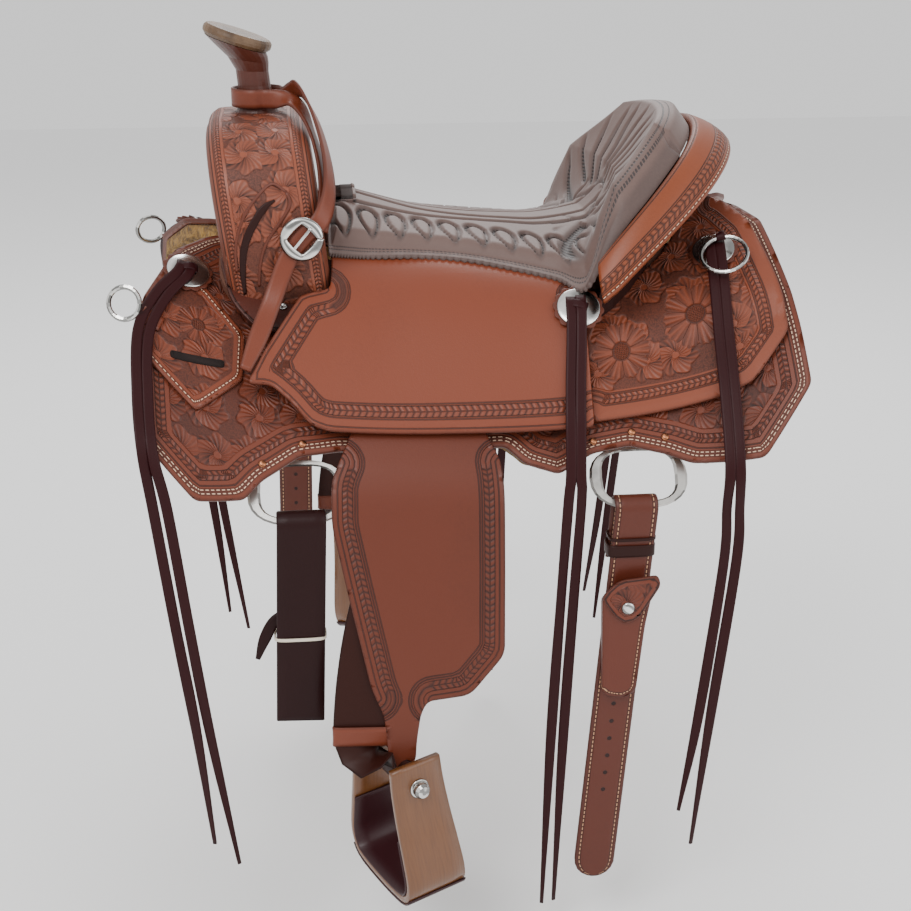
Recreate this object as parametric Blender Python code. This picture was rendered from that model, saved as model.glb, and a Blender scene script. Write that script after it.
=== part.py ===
"""Western saddle: tree, seat, skirts, rigging, fenders, stirrups and strings.

Frame: +X towards the cantle, -Y towards the near (left) side, +Z up.
The origin lies on the mid-plane, at mid length, on the line of the horse's back.
Every layered panel of leather is laid out flat in (x, s), where s is the distance down the
side from the mid-plane, and is then wrapped on the side curve at a height n above the back.
"""
import math

import bmesh
import bpy
from mathutils import Matrix, Vector

# ---- driving dimensions, in metres -------------------------------------------------------
SIDE_RADIUS = 0.589        # radius of the side curve across the back
RIDGE_ANGLE = math.radians(22.0)
ROCK_2, ROCK_4 = 0.22, 2.6     # rise of the back line towards both ends
STEP_S, STEP_X = 0.03, 0.07    # facet lines shared by every layer

FLEECE_N = (0.0, 0.017)
SKIRT_N = (0.018, 0.023)
KEEPER_N = (0.0235, 0.0275)
BAR_N = (0.0238, 0.036)
HANGER_N = (0.0290, 0.0335)    # stirrup leather between skirt and seat jockey
JOCKEY_TOP_N = 0.0425
JOCKEY_THICK = 0.0045
REAR_JOCKEY_THICK = 0.0045

SKIRT_FRONT, SKIRT_REAR = -0.3475, 0.3475
CONCHO_R = 0.023
PAD_THICK = 0.014

HANGER_X = -0.066              # stirrup leather centre at the bar
HINGE_S = 0.302                # where fender and stirrup leather leave the skirt
FENDER_BEND_R = 0.12
FENDER_END_ANGLE = math.radians(78.0)
FENDER_THICK = 0.004

STIRRUP_TURN = math.radians(24.0)
STIRRUP_TILT = math.radians(6.0)
STIRRUP_BOLT = Vector((-0.0945, 0.326, -0.4733))
STIRRUP_WIDTH_TOP, STIRRUP_WIDTH_LOW = 0.0565, 0.0685
WOOD = 0.008

NEAR, OFF = -1, 1
SIDES = (("near", NEAR), ("off", OFF))

for item in list(bpy.data.objects):
    bpy.data.objects.remove(item, do_unlink=True)


# ---- materials ---------------------------------------------------------------------------
def material(name, colour, rough, metal=0.0):
    m = bpy.data.materials.new(name)
    m.use_nodes = True
    shader = m.node_tree.nodes["Principled BSDF"]
    shader.inputs["Base Color"].default_value = (*colour, 1.0)
    shader.inputs["Roughness"].default_value = rough
    shader.inputs["Metallic"].default_value = metal
    m.diffuse_color = (*colour, 1.0)
    return m


LEATHER = material("saddle_leather", (0.30, 0.085, 0.038), 0.45)
TAN = material("tan_leather", (0.36, 0.12, 0.055), 0.45)
ROLL = material("roll_leather", (0.38, 0.11, 0.035), 0.4)
DARK = material("dark_leather", (0.055, 0.014, 0.016), 0.35)
PAD = material("pad_leather", (0.20, 0.13, 0.12), 0.6)
HORN_LEATHER = material("horn_leather", (0.14, 0.035, 0.022), 0.4)
RAWHIDE = material("rawhide", (0.42, 0.29, 0.15), 0.5)
FLEECE = material("fleece", (0.62, 0.42, 0.14), 0.95)
STEEL = material("polished_steel", (0.72, 0.72, 0.70), 0.18, 1.0)
OAK = material("stirrup_wood", (0.32, 0.16, 0.06), 0.5)
TREE = material("tree_wood", (0.50, 0.38, 0.22), 0.7)


# ---- side curve --------------------------------------------------------------------------
def rise(x):
    return ROCK_2 * x ** 2 + ROCK_4 * x ** 4


def node(i, n):
    a = RIDGE_ANGLE + i * STEP_S / SIDE_RADIUS
    y = SIDE_RADIUS * (math.sin(a) - math.sin(RIDGE_ANGLE)) + n * math.sin(a)
    z = -SIDE_RADIUS * (math.cos(RIDGE_ANGLE) - math.cos(a)) + n * math.cos(a)
    return y, z


def side_point(x, s, n, side):
    """A point of the facetted side surface: x along, s down the side, n above the back."""
    i = math.floor(s / STEP_S)
    f = s / STEP_S - i
    (y0, z0), (y1, z1) = node(i, n), node(i + 1, n)
    j = math.floor(x / STEP_X)
    g = x / STEP_X - j
    lift = (1 - g) * rise(j * STEP_X) + g * rise((j + 1) * STEP_X)
    return Vector((x, side * ((1 - f) * y0 + f * y1), (1 - f) * z0 + f * z1 + lift))


def side_normal(x, s, side):
    """Outward normal of the side surface, the slope along x included."""
    a = RIDGE_ANGLE + s / SIDE_RADIUS
    slope = 2 * ROCK_2 * x + 4 * ROCK_4 * x ** 3
    return Vector((-slope * math.cos(a), side * math.sin(a), math.cos(a))).normalized()


# ---- mesh builders -----------------------------------------------------------------------
def finish(name, bm, mat, sharp=35.0):
    bmesh.ops.remove_doubles(bm, verts=bm.verts[:], dist=1e-6)
    bmesh.ops.recalc_face_normals(bm, faces=bm.faces[:])
    for f in bm.faces:
        f.smooth = True
    for e in bm.edges:
        e.smooth = e.calc_face_angle(0.0) < math.radians(sharp)
    mesh = bpy.data.meshes.new(name)
    bm.to_mesh(mesh)
    bm.free()
    ob = bpy.data.objects.new(name, mesh)
    ob.data.materials.append(mat)
    bpy.context.collection.objects.link(ob)
    return ob


def crossing(v, xs, ys):
    return (any(abs(v.co.x - c) < 1e-5 for c in xs) and any(abs(v.co.y - c) < 1e-5 for c in ys))


def flat_cut(outline, xs, ys):
    """The outline as faces that end on every line x=xs and y=ys."""
    bm = bmesh.new()
    face = bm.faces.new([bm.verts.new((x, y, 0.0)) for x, y in outline])
    bmesh.ops.triangulate(bm, faces=[face])
    for axis, lines in ((0, xs), (1, ys)):
        no = Vector((1, 0, 0)) if axis == 0 else Vector((0, 1, 0))
        for c in lines:
            geom = bm.verts[:] + bm.edges[:] + bm.faces[:]
            bmesh.ops.bisect_plane(bm, geom=geom, dist=1e-6, plane_co=no * c, plane_no=no)
    def on_line(e):
        a, b = (v.co for v in e.verts)
        return any(abs(a[k] - b[k]) < 1e-6 and any(abs(a[k] - c) < 1e-5 for c in lines)
                   for k, lines in ((0, xs), (1, ys)))
    loose = [e for e in bm.edges if len(e.link_faces) == 2 and not on_line(e)]
    bmesh.ops.dissolve_edges(bm, edges=loose, use_verts=False, use_face_split=False)
    spare = []
    for v in bm.verts:
        if len(v.link_edges) == 2:
            a, b = ((e.other_vert(v).co - v.co).normalized() for e in v.link_edges)
            if a.dot(b) < -0.99999 and not any(abs(v.co[k] - c) < 1e-5 for k, lines in
                                               ((0, xs), (1, ys)) for c in lines) or \
                    a.dot(b) < -0.99999 and not v.is_boundary and not crossing(v, xs, ys):
                spare.append(v)
    bmesh.ops.dissolve_verts(bm, verts=spare)
    return bm


def lines_between(lo, hi, step):
    return [k * step for k in range(math.ceil(lo / step), math.floor(hi / step) + 1)]


def slab(name, flat, low, high, mat):
    """A closed plate between two mappings of a flat cut pattern."""
    bm = bmesh.new()
    flat.verts.ensure_lookup_table()
    a = {v: bm.verts.new(low(v.co.x, v.co.y)) for v in flat.verts}
    b = {v: bm.verts.new(high(v.co.x, v.co.y)) for v in flat.verts}
    for f in flat.faces:
        bm.faces.new([b[v] for v in f.verts])
        bm.faces.new([a[v] for v in reversed(f.verts)])
    for e in flat.edges:
        if len(e.link_faces) == 1:
            p, q = e.verts
            bm.faces.new([a[p], a[q], b[q], b[p]])
    flat.free()
    return finish(name, bm, mat)


def panel(name, outline, n0, n1, side, mat):
    """Leather laid on the side curve; n0 and n1 are heights, or functions of (x, s)."""
    f0 = n0 if callable(n0) else (lambda x, s: n0)
    f1 = n1 if callable(n1) else (lambda x, s: n1)
    xs = [p[0] for p in outline]
    ss = [p[1] for p in outline]
    flat = flat_cut(outline, lines_between(min(xs), max(xs), STEP_X),
                    lines_between(min(ss), max(ss), STEP_S))
    return slab(name, flat, lambda x, s: side_point(x, s, f0(x, s), side),
                lambda x, s: side_point(x, s, f1(x, s), side), mat)


def rounded(points, radius, steps=3):
    """The closed outline with every corner replaced by a short arc."""
    out, count = [], len(points)
    for i, p in enumerate(points):
        p = Vector(p)
        a, b = Vector(points[i - 1]), Vector(points[(i + 1) % count])
        r = min(radius, 0.45 * (a - p).length, 0.45 * (b - p).length)
        p0, p1 = p + (a - p).normalized() * r, p + (b - p).normalized() * r
        for k in range(steps + 1):
            t = k / steps
            out.append(tuple(p0 * (1 - t) ** 2 + p * 2 * t * (1 - t) + p1 * t ** 2))
    return out


def ribbon(name, points, across, width, thick, mat, sharp=35.0):
    """A flat strap swept along points; across gives its width direction at each of them."""
    points = [Vector(p) for p in points]
    count = len(points)
    widths = width if isinstance(width, (list, tuple)) else [width] * count
    bm = bmesh.new()
    rings = []
    for i, p in enumerate(points):
        before = (p - points[i - 1]).normalized() if i else None
        after = (points[i + 1] - p).normalized() if i < count - 1 else None
        t = ((before or after) + (after or before)).normalized()
        w = Vector(across[i]) - t * Vector(across[i]).dot(t)
        w.normalize()
        nrm = t.cross(w).normalized()
        if before and after:
            cosine = max(0.5, math.sqrt(max(0.0, (1 + before.dot(after)) / 2)))
        else:
            cosine = 1.0
        h, d = widths[i] / 2, thick / 2 / cosine
        rings.append([bm.verts.new(p + w * (u * h) + nrm * (v * d))
                      for u, v in ((-1, -1), (1, -1), (1, 1), (-1, 1))])
    for r0, r1 in zip(rings, rings[1:]):
        for k in range(4):
            bm.faces.new([r0[k], r0[(k + 1) % 4], r1[(k + 1) % 4], r1[k]])
    bm.faces.new(rings[0][::-1])
    bm.faces.new(rings[-1])
    return finish(name, bm, mat, sharp)


def ring(name, centre, axis, major, minor, mat, seg=32, around=12, squash=1.0):
    """A round ring of round wire about an axis; squash stretches it along its own y."""
    axis = Vector(axis).normalized()
    turn = axis.to_track_quat("Z", "Y").to_matrix()
    bm = bmesh.new()
    loops = []
    for i in range(seg):
        a = 2 * math.pi * i / seg
        loop = []
        for j in range(around):
            b = 2 * math.pi * j / around
            r = major + minor * math.cos(b)
            v = Vector((r * math.cos(a), r * math.sin(a) * squash, minor * math.sin(b)))
            loop.append(bm.verts.new(Vector(centre) + turn @ v))
        loops.append(loop)
    for i in range(seg):
        p, q = loops[i], loops[(i + 1) % seg]
        for j in range(around):
            bm.faces.new([p[j], q[j], q[(j + 1) % around], p[(j + 1) % around]])
    return finish(name, bm, mat)


def loft(name, rings, mat, sharp=35.0):
    """Closed loops of equal count joined in order and capped."""
    bm = bmesh.new()
    loops = [[bm.verts.new(p) for p in r] for r in rings]
    for p, q in zip(loops, loops[1:]):
        for k in range(len(p)):
            m = (k + 1) % len(p)
            bm.faces.new([p[k], p[m], q[m], q[k]])
    bm.faces.new(loops[0][::-1])
    bm.faces.new(loops[-1])
    return finish(name, bm, mat, sharp)


def circle(centre, normal, radius, count=24):
    normal = Vector(normal).normalized()
    u = Vector((0, 1, 0)).cross(normal).normalized()
    v = normal.cross(u)
    return [Vector(centre) + radius * (math.cos(a) * u + math.sin(a) * v)
            for a in (2 * math.pi * k / count for k in range(count))]


def boolean(target, tool, how):
    """Subtract or join a helper solid that stays in the file as an unseen cutter."""
    tool.hide_render = True
    tool.display_type = "WIRE"
    mod = target.modifiers.new(f"{how}_{tool.name}", "BOOLEAN")
    mod.operation, mod.object, mod.solver = how, tool, "EXACT"
    return mod


# ---- seat surface, as a height over the plan ------------------------------------------------
def curve_through(points, x):
    """Smooth curve through points of rising x (Catmull-Rom on uneven steps)."""
    if x <= points[0][0]:
        return points[0][1]
    if x >= points[-1][0]:
        return points[-1][1]
    for i in range(len(points) - 1):
        (xa, ya), (xb, yb) = points[i], points[i + 1]
        if x <= xb:
            ma = ((yb - points[i - 1][1]) / (xb - points[i - 1][0])) if i else (yb - ya) / (xb - xa)
            mb = ((points[i + 2][1] - ya) / (points[i + 2][0] - xa)
                  if i + 2 < len(points) else (yb - ya) / (xb - xa))
            h, t = xb - xa, (x - xa) / (xb - xa)
            return ((2 * t ** 3 - 3 * t ** 2 + 1) * ya + (t ** 3 - 2 * t ** 2 + t) * h * ma
                    + (3 * t ** 2 - 2 * t ** 3) * yb + (t ** 3 - t ** 2) * h * mb)


SEAT_MID = [(-0.26, 0.078), (-0.15, 0.067), (-0.117, 0.059), (-0.061, 0.042), (-0.004, 0.032),
            (0.041, 0.028), (0.10, 0.027), (0.16, 0.031)]      # seat leather on the mid-plane
SEAT_EDGE_Y = [(-0.26, 0.112), (-0.14, 0.115), (-0.08, 0.111), (-0.026, 0.110), (0.052, 0.128), (0.122, 0.156)]
SEAT_EDGE_Z = [(-0.26, 0.040), (-0.14, 0.024), (-0.08, 0.019), (-0.026, 0.018), (0.052, 0.007), (0.122, -0.006)]
LOW_S = 0.30


def jockey_plan(x, s):
    """Plan y of a point of the seat jockey that lies s down the side."""
    a = RIDGE_ANGLE + s / SIDE_RADIUS
    return SIDE_RADIUS * (math.sin(a) - math.sin(RIDGE_ANGLE)) + JOCKEY_TOP_N * math.sin(a)


def seat_height(x, y):
    """Top of the seat leather above the plan point (x, y)."""
    y = abs(y)
    mid, ye, ze = (curve_through(c, x) for c in (SEAT_MID, SEAT_EDGE_Y, SEAT_EDGE_Z))
    slope_e = -1.6 * (mid - ze) / ye
    if y <= ye:
        return mid - (mid - ze) * (y / ye) ** 1.6
    low = side_point(x, LOW_S, JOCKEY_TOP_N, OFF)
    h, t = low.y - ye, (y - ye) / (low.y - ye)
    slope_l = -math.tan(RIDGE_ANGLE + LOW_S / SIDE_RADIUS)
    return ((2 * t ** 3 - 3 * t ** 2 + 1) * ze + (t ** 3 - 2 * t ** 2 + t) * h * slope_e
            + (3 * t ** 2 - 2 * t ** 3) * low.z + (t ** 3 - t ** 2) * h * slope_l)


def seat_offset(x, y, depth):
    """Seat surface moved down its own normal by depth."""
    d = 0.002
    slope = (seat_height(x, abs(y) + d) - seat_height(x, abs(y) - d)) / (2 * d)
    n = Vector((0, -slope, 1)).normalized()
    return Vector((x, (abs(y) - depth * n.y) * (1 if y >= 0 else -1),
                   seat_height(x, y) - depth * n.z))


PLAN_STEP = 0.025


def plan_slab(name, outline, top, bottom, mat, step=PLAN_STEP):
    """A plate under the seat surface, drawn in plan; top and bottom are depths below it."""
    xs = [p[0] for p in outline]
    ys = [p[1] for p in outline]
    flat = flat_cut(outline, lines_between(min(xs), max(xs), STEP_X / 2),
                    lines_between(min(ys), max(ys), step))
    return slab(name, flat, lambda x, y: seat_offset(x, y, bottom),
                lambda x, y: seat_offset(x, y, top), mat)


# ---- tree --------------------------------------------------------------------------------
GULLET_CUT = 0.0365


def side_cutter(name, side, top_n, x0=-0.40, x1=0.40):
    ob = panel(name, [(x0, -0.03), (x1, -0.03), (x1, 0.36), (x0, 0.36)], -0.12, top_n, side, TREE)
    ob.hide_render, ob.display_type = True, "WIRE"
    return ob


BAR_TRIM = {side: side_cutter(f"cut_bar_{word}", side, GULLET_CUT) for word, side in SIDES}

for word, side in SIDES:
    panel(f"tree_bar_{word}",
          rounded([(-0.262, 0.062), (0.20, 0.062), (0.258, 0.080), (0.258, 0.140), (0.20, 0.149),
                   (-0.238, 0.149), (-0.262, 0.116)], 0.015),
          BAR_N[0], BAR_N[1], side, TREE)

FORK_OUT = [(0.045, 0.155), (0.085, 0.147), (0.115, 0.129), (0.135, 0.100), (0.1425, 0.066),
            (0.141, 0.030), (0.132, -0.048)]
FORK_IN = [(0.090, -0.034), (0.076, 0.034), (0.060, 0.068), (0.034, 0.091)]
FORK_X = (-0.2590, -0.1590)
FORK_LEAN = 0.125


def arch(name, grow, sink, x0, x1, mat, bevel):
    """The fork arch between x0 and x1; grow thickens its outside, sink opens its inside."""
    half = [Vector((y, z)) for y, z in FORK_OUT]
    outer = []
    for i, p in enumerate(half):
        a = half[i - 1] if i else Vector((-half[0].x, half[0].y))
        b = half[i + 1] if i + 1 < len(half) else p + (p - half[i - 1])
        t = (b - a).normalized()
        outer.append(p + Vector((-t.y, t.x)) * grow)
    inner = [Vector((y, z)) * 1.0 for y, z in FORK_IN]
    inner = [Vector((max(0.0, p.x - sink), p.y - sink * 0.6)) for p in inner]
    right = outer + inner
    loop = right + [Vector((-p.x, p.y)) for p in reversed(right)]
    bm = bmesh.new()
    faces = []
    for x in (x0, x1):
        faces.append([bm.verts.new((x - FORK_LEAN * (p.y - 0.08), p.x, p.y)) for p in loop])
    front, back = faces
    for k in range(len(loop)):
        m = (k + 1) % len(loop)
        bm.faces.new([front[k], front[m], back[m], back[k]])
    bm.faces.new(front[::-1])
    bm.faces.new(back)
    if bevel:
        count = len(outer)
        keep = set(range(count)) | {2 * len(right) - 1 - k for k in range(count)}
        rims = [e for e in bm.edges if abs(e.verts[0].co.x - e.verts[1].co.x) < 0.02
                and all(any(v is f[k] for f in faces for k in keep) for v in e.verts)]
        bmesh.ops.bevel(bm, geom=rims, offset=bevel, segments=3, affect="EDGES", profile=0.5)
    bmesh.ops.triangulate(bm, faces=[f for f in bm.faces if len(f.verts) > 4])
    return finish(name, bm, mat)


HORN_BASE = Vector((-0.2165, 0.0, 0.1612))
POST_R = 0.0115
fork = arch("tree_fork", 0.0, 0.0, *FORK_X, TREE, 0.014)
for side in (NEAR, OFF):
    boolean(fork, BAR_TRIM[side], "DIFFERENCE")
post = loft("cut_horn_post", [circle((-0.2160, 0, 0.12), (0, 0, 1), POST_R),
                              circle((-0.2195, 0, 0.215), (-0.05, 0, 1), POST_R)], TREE)
boolean(fork, post, "UNION")

# Horn: leather-wrapped neck that flares under a tilted rawhide cap.
CAP_TILT = math.radians(18.0)
CAP_N = Vector((math.sin(CAP_TILT), 0, math.cos(CAP_TILT)))
CAP_TOP = Vector((-0.2330, 0.0, 0.2475))
CAP_R, CAP_THICK = 0.038, 0.013
under = CAP_TOP - CAP_N * (CAP_THICK + 0.0005)
wrap = loft("horn_wrap", [
    circle(HORN_BASE, (0, 0, 1), 0.0235),
    circle((-0.2170, 0, 0.171), (0, 0, 1), 0.0200),
    circle((-0.2190, 0, 0.190), (-0.05, 0, 1), 0.0178),
    circle((-0.2205, 0, 0.206), (0.05, 0, 1), 0.0178),
    circle((-0.2245, 0, 0.2175), (0.17, 0, 1), 0.0225),
    circle((-0.2315, 0, 0.2272), (0.26, 0, 1), 0.0295),
    circle(under, CAP_N, 0.0345)], HORN_LEATHER)
bore = loft("cut_horn_bore", [circle((-0.2160, 0, 0.10), (0, 0, 1), POST_R + 0.0005),
                              circle((-0.21955, 0, 0.2165), (-0.05, 0, 1), POST_R + 0.0005)], TREE)
boolean(wrap, bore, "DIFFERENCE")
loft("horn_cap", [circle(CAP_TOP - CAP_N * d, CAP_N, CAP_R - inset, 32) for d, inset in (
    (CAP_THICK, 0.0035), (CAP_THICK - 0.0035, 0.0003), (CAP_THICK / 2, 0.0), (0.0035, 0.0004),
    (0.001, 0.0025), (0.0, 0.006))], RAWHIDE, 50)

# Swell cover: leather over the fork, with a flange that runs out on the skirt below.
COVER = 0.0045
cover = arch("swell_cover", COVER, 0.0, FORK_X[0] - COVER, FORK_X[1] + COVER, LEATHER, 0.016)
core = arch("cut_swell_core", 0.0010, 0.012, FORK_X[0] - 0.0010, FORK_X[1] + 0.0010, TREE, 0.014)
FLANGE_OUT = [(-0.262, 0.095), (-0.1535, 0.095), (-0.168, 0.140), (-0.190, 0.168),
              (-0.222, 0.172), (-0.250, 0.145)]


def over_bar(low):
    """Height of a leather that lies on the bar and comes down to low beyond its edge."""
    def n(x, s):
        t = min(1.0, max(0.0, (s - 0.167) / 0.035))
        return (GULLET_CUT + 0.0005) * (1 - t) + low * t + 0.0015 * math.sin(math.pi * t)
    return n


for word, side in SIDES:
    boolean(cover, BAR_TRIM[side], "DIFFERENCE")
    low = over_bar(0.0285)
    flange = panel(f"cut_flange_{word}", rounded(FLANGE_OUT, 0.012), low,
                   lambda x, s: low(x, s) + 0.004, side, LEATHER)
    boolean(cover, flange, "UNION")
boolean(cover, core, "DIFFERENCE")
boolean(cover, bore, "DIFFERENCE")

# ---- seat --------------------------------------------------------------------------------
RIM_X, RIM_RUN, RIM_W = 0.1215, 0.138, 0.173
RIM_Z, RIM_H = -0.004, 0.150


def rim(theta, inset=0.0):
    """The top edge of the cantle, from the near end (0) over the middle to the off end (180)."""
    a = math.radians(theta)
    up, wide = math.sin(a), math.cos(a)
    return Vector((RIM_X + (RIM_RUN - inset) * up ** 1.1,
                   -(RIM_W - inset) * math.copysign(abs(wide) ** 0.95, wide),
                   RIM_Z + (RIM_H - inset) * up ** 0.8))


DISH_MID = [(0.148, 0.036), (0.186, 0.050), (0.217, 0.080), (0.240, 0.114)]
RIM_STOPS = (0.0, 16.0, 32.0, 50.0)
ACROSS = 10


def dish_rows(inset=0.0):
    """Rows of points over the cantle face; the last one follows the rim over the middle."""
    rows = []
    for (mx, mz), stop in zip(DISH_MID, RIM_STOPS):
        e = rim(stop, inset)
        row = []
        for k in range(ACROSS + 1):
            v = -1 + 2 * k / ACROSS
            row.append(Vector((mx + (e.x - mx) * v ** 2, -e.y * v, mz + (e.z - mz) * abs(v) ** 2.2)))
        rows.append(row)
    last = RIM_STOPS[-1] + 6
    rows.append([rim(last + (180 - 2 * last) * k / ACROSS, inset) for k in range(ACROSS + 1)])
    return rows


def seat_rows(x_list, depth):
    rows = []
    for x in x_list:
        ye = curve_through(SEAT_EDGE_Y, x)
        rows.append([seat_offset(x, ye * (-1 + 2 * k / ACROSS), depth) for k in range(ACROSS + 1)])
    return rows


def grid_normals(rows):
    out = []
    for i, row in enumerate(rows):
        line = []
        for k, p in enumerate(row):
            du = rows[min(i + 1, len(rows) - 1)][k] - rows[max(i - 1, 0)][k]
            dv = row[min(k + 1, len(row) - 1)] - row[max(k - 1, 0)]
            line.append(du.cross(dv).normalized())
        out.append(line)
    return out


def grid_solid(name, top, bottom, mat):
    bm = bmesh.new()
    a = [[bm.verts.new(p) for p in r] for r in top]
    b = [[bm.verts.new(p) for p in r] for r in bottom]
    rows, cols = len(top), len(top[0])
    for i in range(rows - 1):
        for k in range(cols - 1):
            bm.faces.new([a[i][k], a[i + 1][k], a[i + 1][k + 1], a[i][k + 1]])
            bm.faces.new([b[i][k], b[i][k + 1], b[i + 1][k + 1], b[i + 1][k]])
    edge = [(0, k) for k in range(cols)] + [(i, cols - 1) for i in range(1, rows)]
    edge += [(rows - 1, k) for k in range(cols - 2, -1, -1)] + [(i, 0) for i in range(rows - 2, 0, -1)]
    for (i, k), (j, m) in zip(edge, edge[1:] + edge[:1]):
        bm.faces.new([a[i][k], a[j][m], b[j][m], b[i][k]])
    return finish(name, bm, mat)


# Seat pad: from the hand hole behind the fork, over the seat and up the cantle face.
PAD_X = (-0.146, -0.125, -0.10, -0.05, 0.0, 0.05, 0.095)
pad_base = seat_rows(PAD_X, -0.0008) + [[p + Vector((0, 0, 0.0)) for p in r] for r in dish_rows()]
pad_n = grid_normals(pad_base)
pad_up = []
for i, (row, normals) in enumerate(zip(pad_base, pad_n)):
    line = []
    for k, (p, n) in enumerate(zip(row, normals)):
        edge = min(k, ACROSS - k) / 2.0
        end = min(i, 2.0) / 2.0
        puff = 0.45 + 0.55 * min(1.0, edge, end)
        if i >= len(PAD_X):                       # the face of the cantle is padded to its rim
            puff = 1.0 + 0.75 * min(1.0, (i - len(PAD_X) + 0.5) / 2)
        line.append(p + n * (PAD_THICK * puff))
    pad_up.append(line)
pad = grid_solid("seat_pad", pad_up, pad_base, PAD)
hole = loft("cut_hand_hole", [
    [Vector((x, y, z)) for x, y in rounded([(-0.147, -0.042), (-0.122, -0.034), (-0.122, 0.034),
                                            (-0.147, 0.042)], 0.008)] for z in (0.0, 0.14)], TREE)
boolean(pad, hole, "DIFFERENCE")

# Leather of the rear jockeys lies between the bars and whatever stands over them.
REAR_TOP = over_bar(0.028)
REAR_TRIM = {side: panel(f"cut_back_{word}", [(-0.05, -0.03), (0.37, -0.03), (0.37, 0.33), (-0.05, 0.33)],
                         -0.12, lambda x, s: REAR_TOP(x, s) + REAR_JOCKEY_THICK + 0.0005, side, TREE)
             for word, side in SIDES}

# Cantle: the wooden block that carries the face, on the bars.
DOWN = Vector((-0.22, 0, -1))


def inner_rows(rows, keep, last):
    """The same surface, narrower: every row kept to a share of its width, the rim drawn in."""
    out = []
    for row in rows[:-1] + [[a.lerp(b, last) for a, b in zip(rows[-2], rows[-1])]]:
        line = []
        for k in range(ACROSS + 1):
            u = (-1 + 2 * k / ACROSS) * keep
            f = (u + 1) / 2 * ACROSS
            i = min(int(f), ACROSS - 1)
            line.append(row[i].lerp(row[i + 1], f - i))
        out.append(line)
    return out


face = inner_rows(dish_rows(), 0.76, 0.05)
top = [[p + DOWN * 0.010 for p in r] for r in face]
base = [[p + DOWN * 0.16 for p in r] for r in top]
cantle = grid_solid("tree_cantle", top, base, TREE)
for side in (NEAR, OFF):
    boolean(cantle, REAR_TRIM[side], "DIFFERENCE")
channel = loft("cut_channel", [[Vector((x, y, z)) for y, z in (
    (-0.08, -0.3), (0.08, -0.3), (0.08, 0.009), (0.04, 0.021), (-0.04, 0.021), (-0.08, 0.009))]
    for x in (-0.1, 0.4)], TREE)
boolean(cantle, channel, "DIFFERENCE")

# Ground seat between the bars, under the seat leather.
GROUND_OUT = [(-0.146, -0.064), (0.130, -0.064), (0.130, 0.064), (-0.146, 0.064)]
plan_slab("ground_seat", rounded(GROUND_OUT, 0.015), JOCKEY_THICK + 0.0012,
          JOCKEY_THICK + 0.0072, TREE)

# Seat jockey: one leather from the near lower edge over the seat to the off lower edge.
JOCKEY_LOW = [(-0.2345, 0.241), (-0.2105, 0.239), (-0.1915, 0.252), (-0.1725, 0.271), (-0.1545, 0.276),
              (-0.010, 0.277), (0.1185, 0.279)]
JOCKEY_FRONT = [(-0.146, 0.060), (-0.143, 0.120), (-0.146, 0.150), (-0.177, 0.158), (-0.197, 0.182),
                (-0.218, 0.206)]       # plan (x, y) from beside the fork to the lower front


def jockey_outline():
    low = [(x, -jockey_plan(x, s)) for x, s in JOCKEY_LOW]
    near = [(x, -y) for x, y in JOCKEY_FRONT] + low + [(0.1185, -0.172), (0.112, -0.120)]
    return near + [(x, -y) for x, y in reversed(near)]


plan_slab("seat_jockey", jockey_outline(), 0.0, JOCKEY_THICK, LEATHER)


# Cantle roll and the leather on the back of the cantle.
def roll_reach(theta):
    a = math.radians(theta)
    s, c = math.sin(a), math.cos(a)
    return Vector((0.046 * s ** 1.3, -0.024 * c, -0.042 + 0.018 * s * s))


def roll_ring(theta):
    taper = min(1.0, 0.45 + min(theta, 180 - theta) / 24.0)
    reach = roll_reach(theta) * taper
    tangent = (rim(theta + 1) - rim(theta - 1)).normalized()
    up = tangent.cross(reach).normalized()
    if up.z < 0:
        up = -up
    start = rim(theta) + reach.normalized() * 0.001 + up * 0.001
    shape = [(0.0, -0.004), (0.0, 0.0045), (0.25, 0.0075), (0.55, 0.0085), (0.85, 0.0065),
             (1.0, 0.0025), (1.0, -0.0020), (0.85, -0.0045), (0.5, -0.0025), (0.2, -0.0035)]
    return [start + reach * (0.02 + 0.98 * a) + up * (h * taper + 0.001) for a, h in shape]


ROLL_STOPS = [7, 10, 18, 28, 40, 52, 65, 78, 90, 102, 115, 128, 140, 152, 162, 170, 173]
loft("cantle_roll", [roll_ring(t) for t in ROLL_STOPS], ROLL, 60)


def back_point(theta, inset, drop):
    return rim(theta, inset) + DOWN * drop


def back_ring(theta):
    top_z, low = 0.018, 0.16
    return [back_point(theta, 0.0055, top_z), back_point(theta, 0.0025, top_z),
            back_point(theta, 0.0025, low), back_point(theta, 0.0055, low)]


back = loft("cantle_back", [back_ring(t) for t in range(14, 167, 12)], ROLL, 40)
for side in (NEAR, OFF):
    boolean(back, REAR_TRIM[side], "DIFFERENCE")
lift_cut = loft("cut_back_channel", [[Vector((x, y, z)) for y, z in (
    (-0.06, -0.3), (0.06, -0.3), (0.06, 0.047), (-0.06, 0.047))] for x in (0.0, 0.4)], TREE)
boolean(back, lift_cut, "DIFFERENCE")

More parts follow.
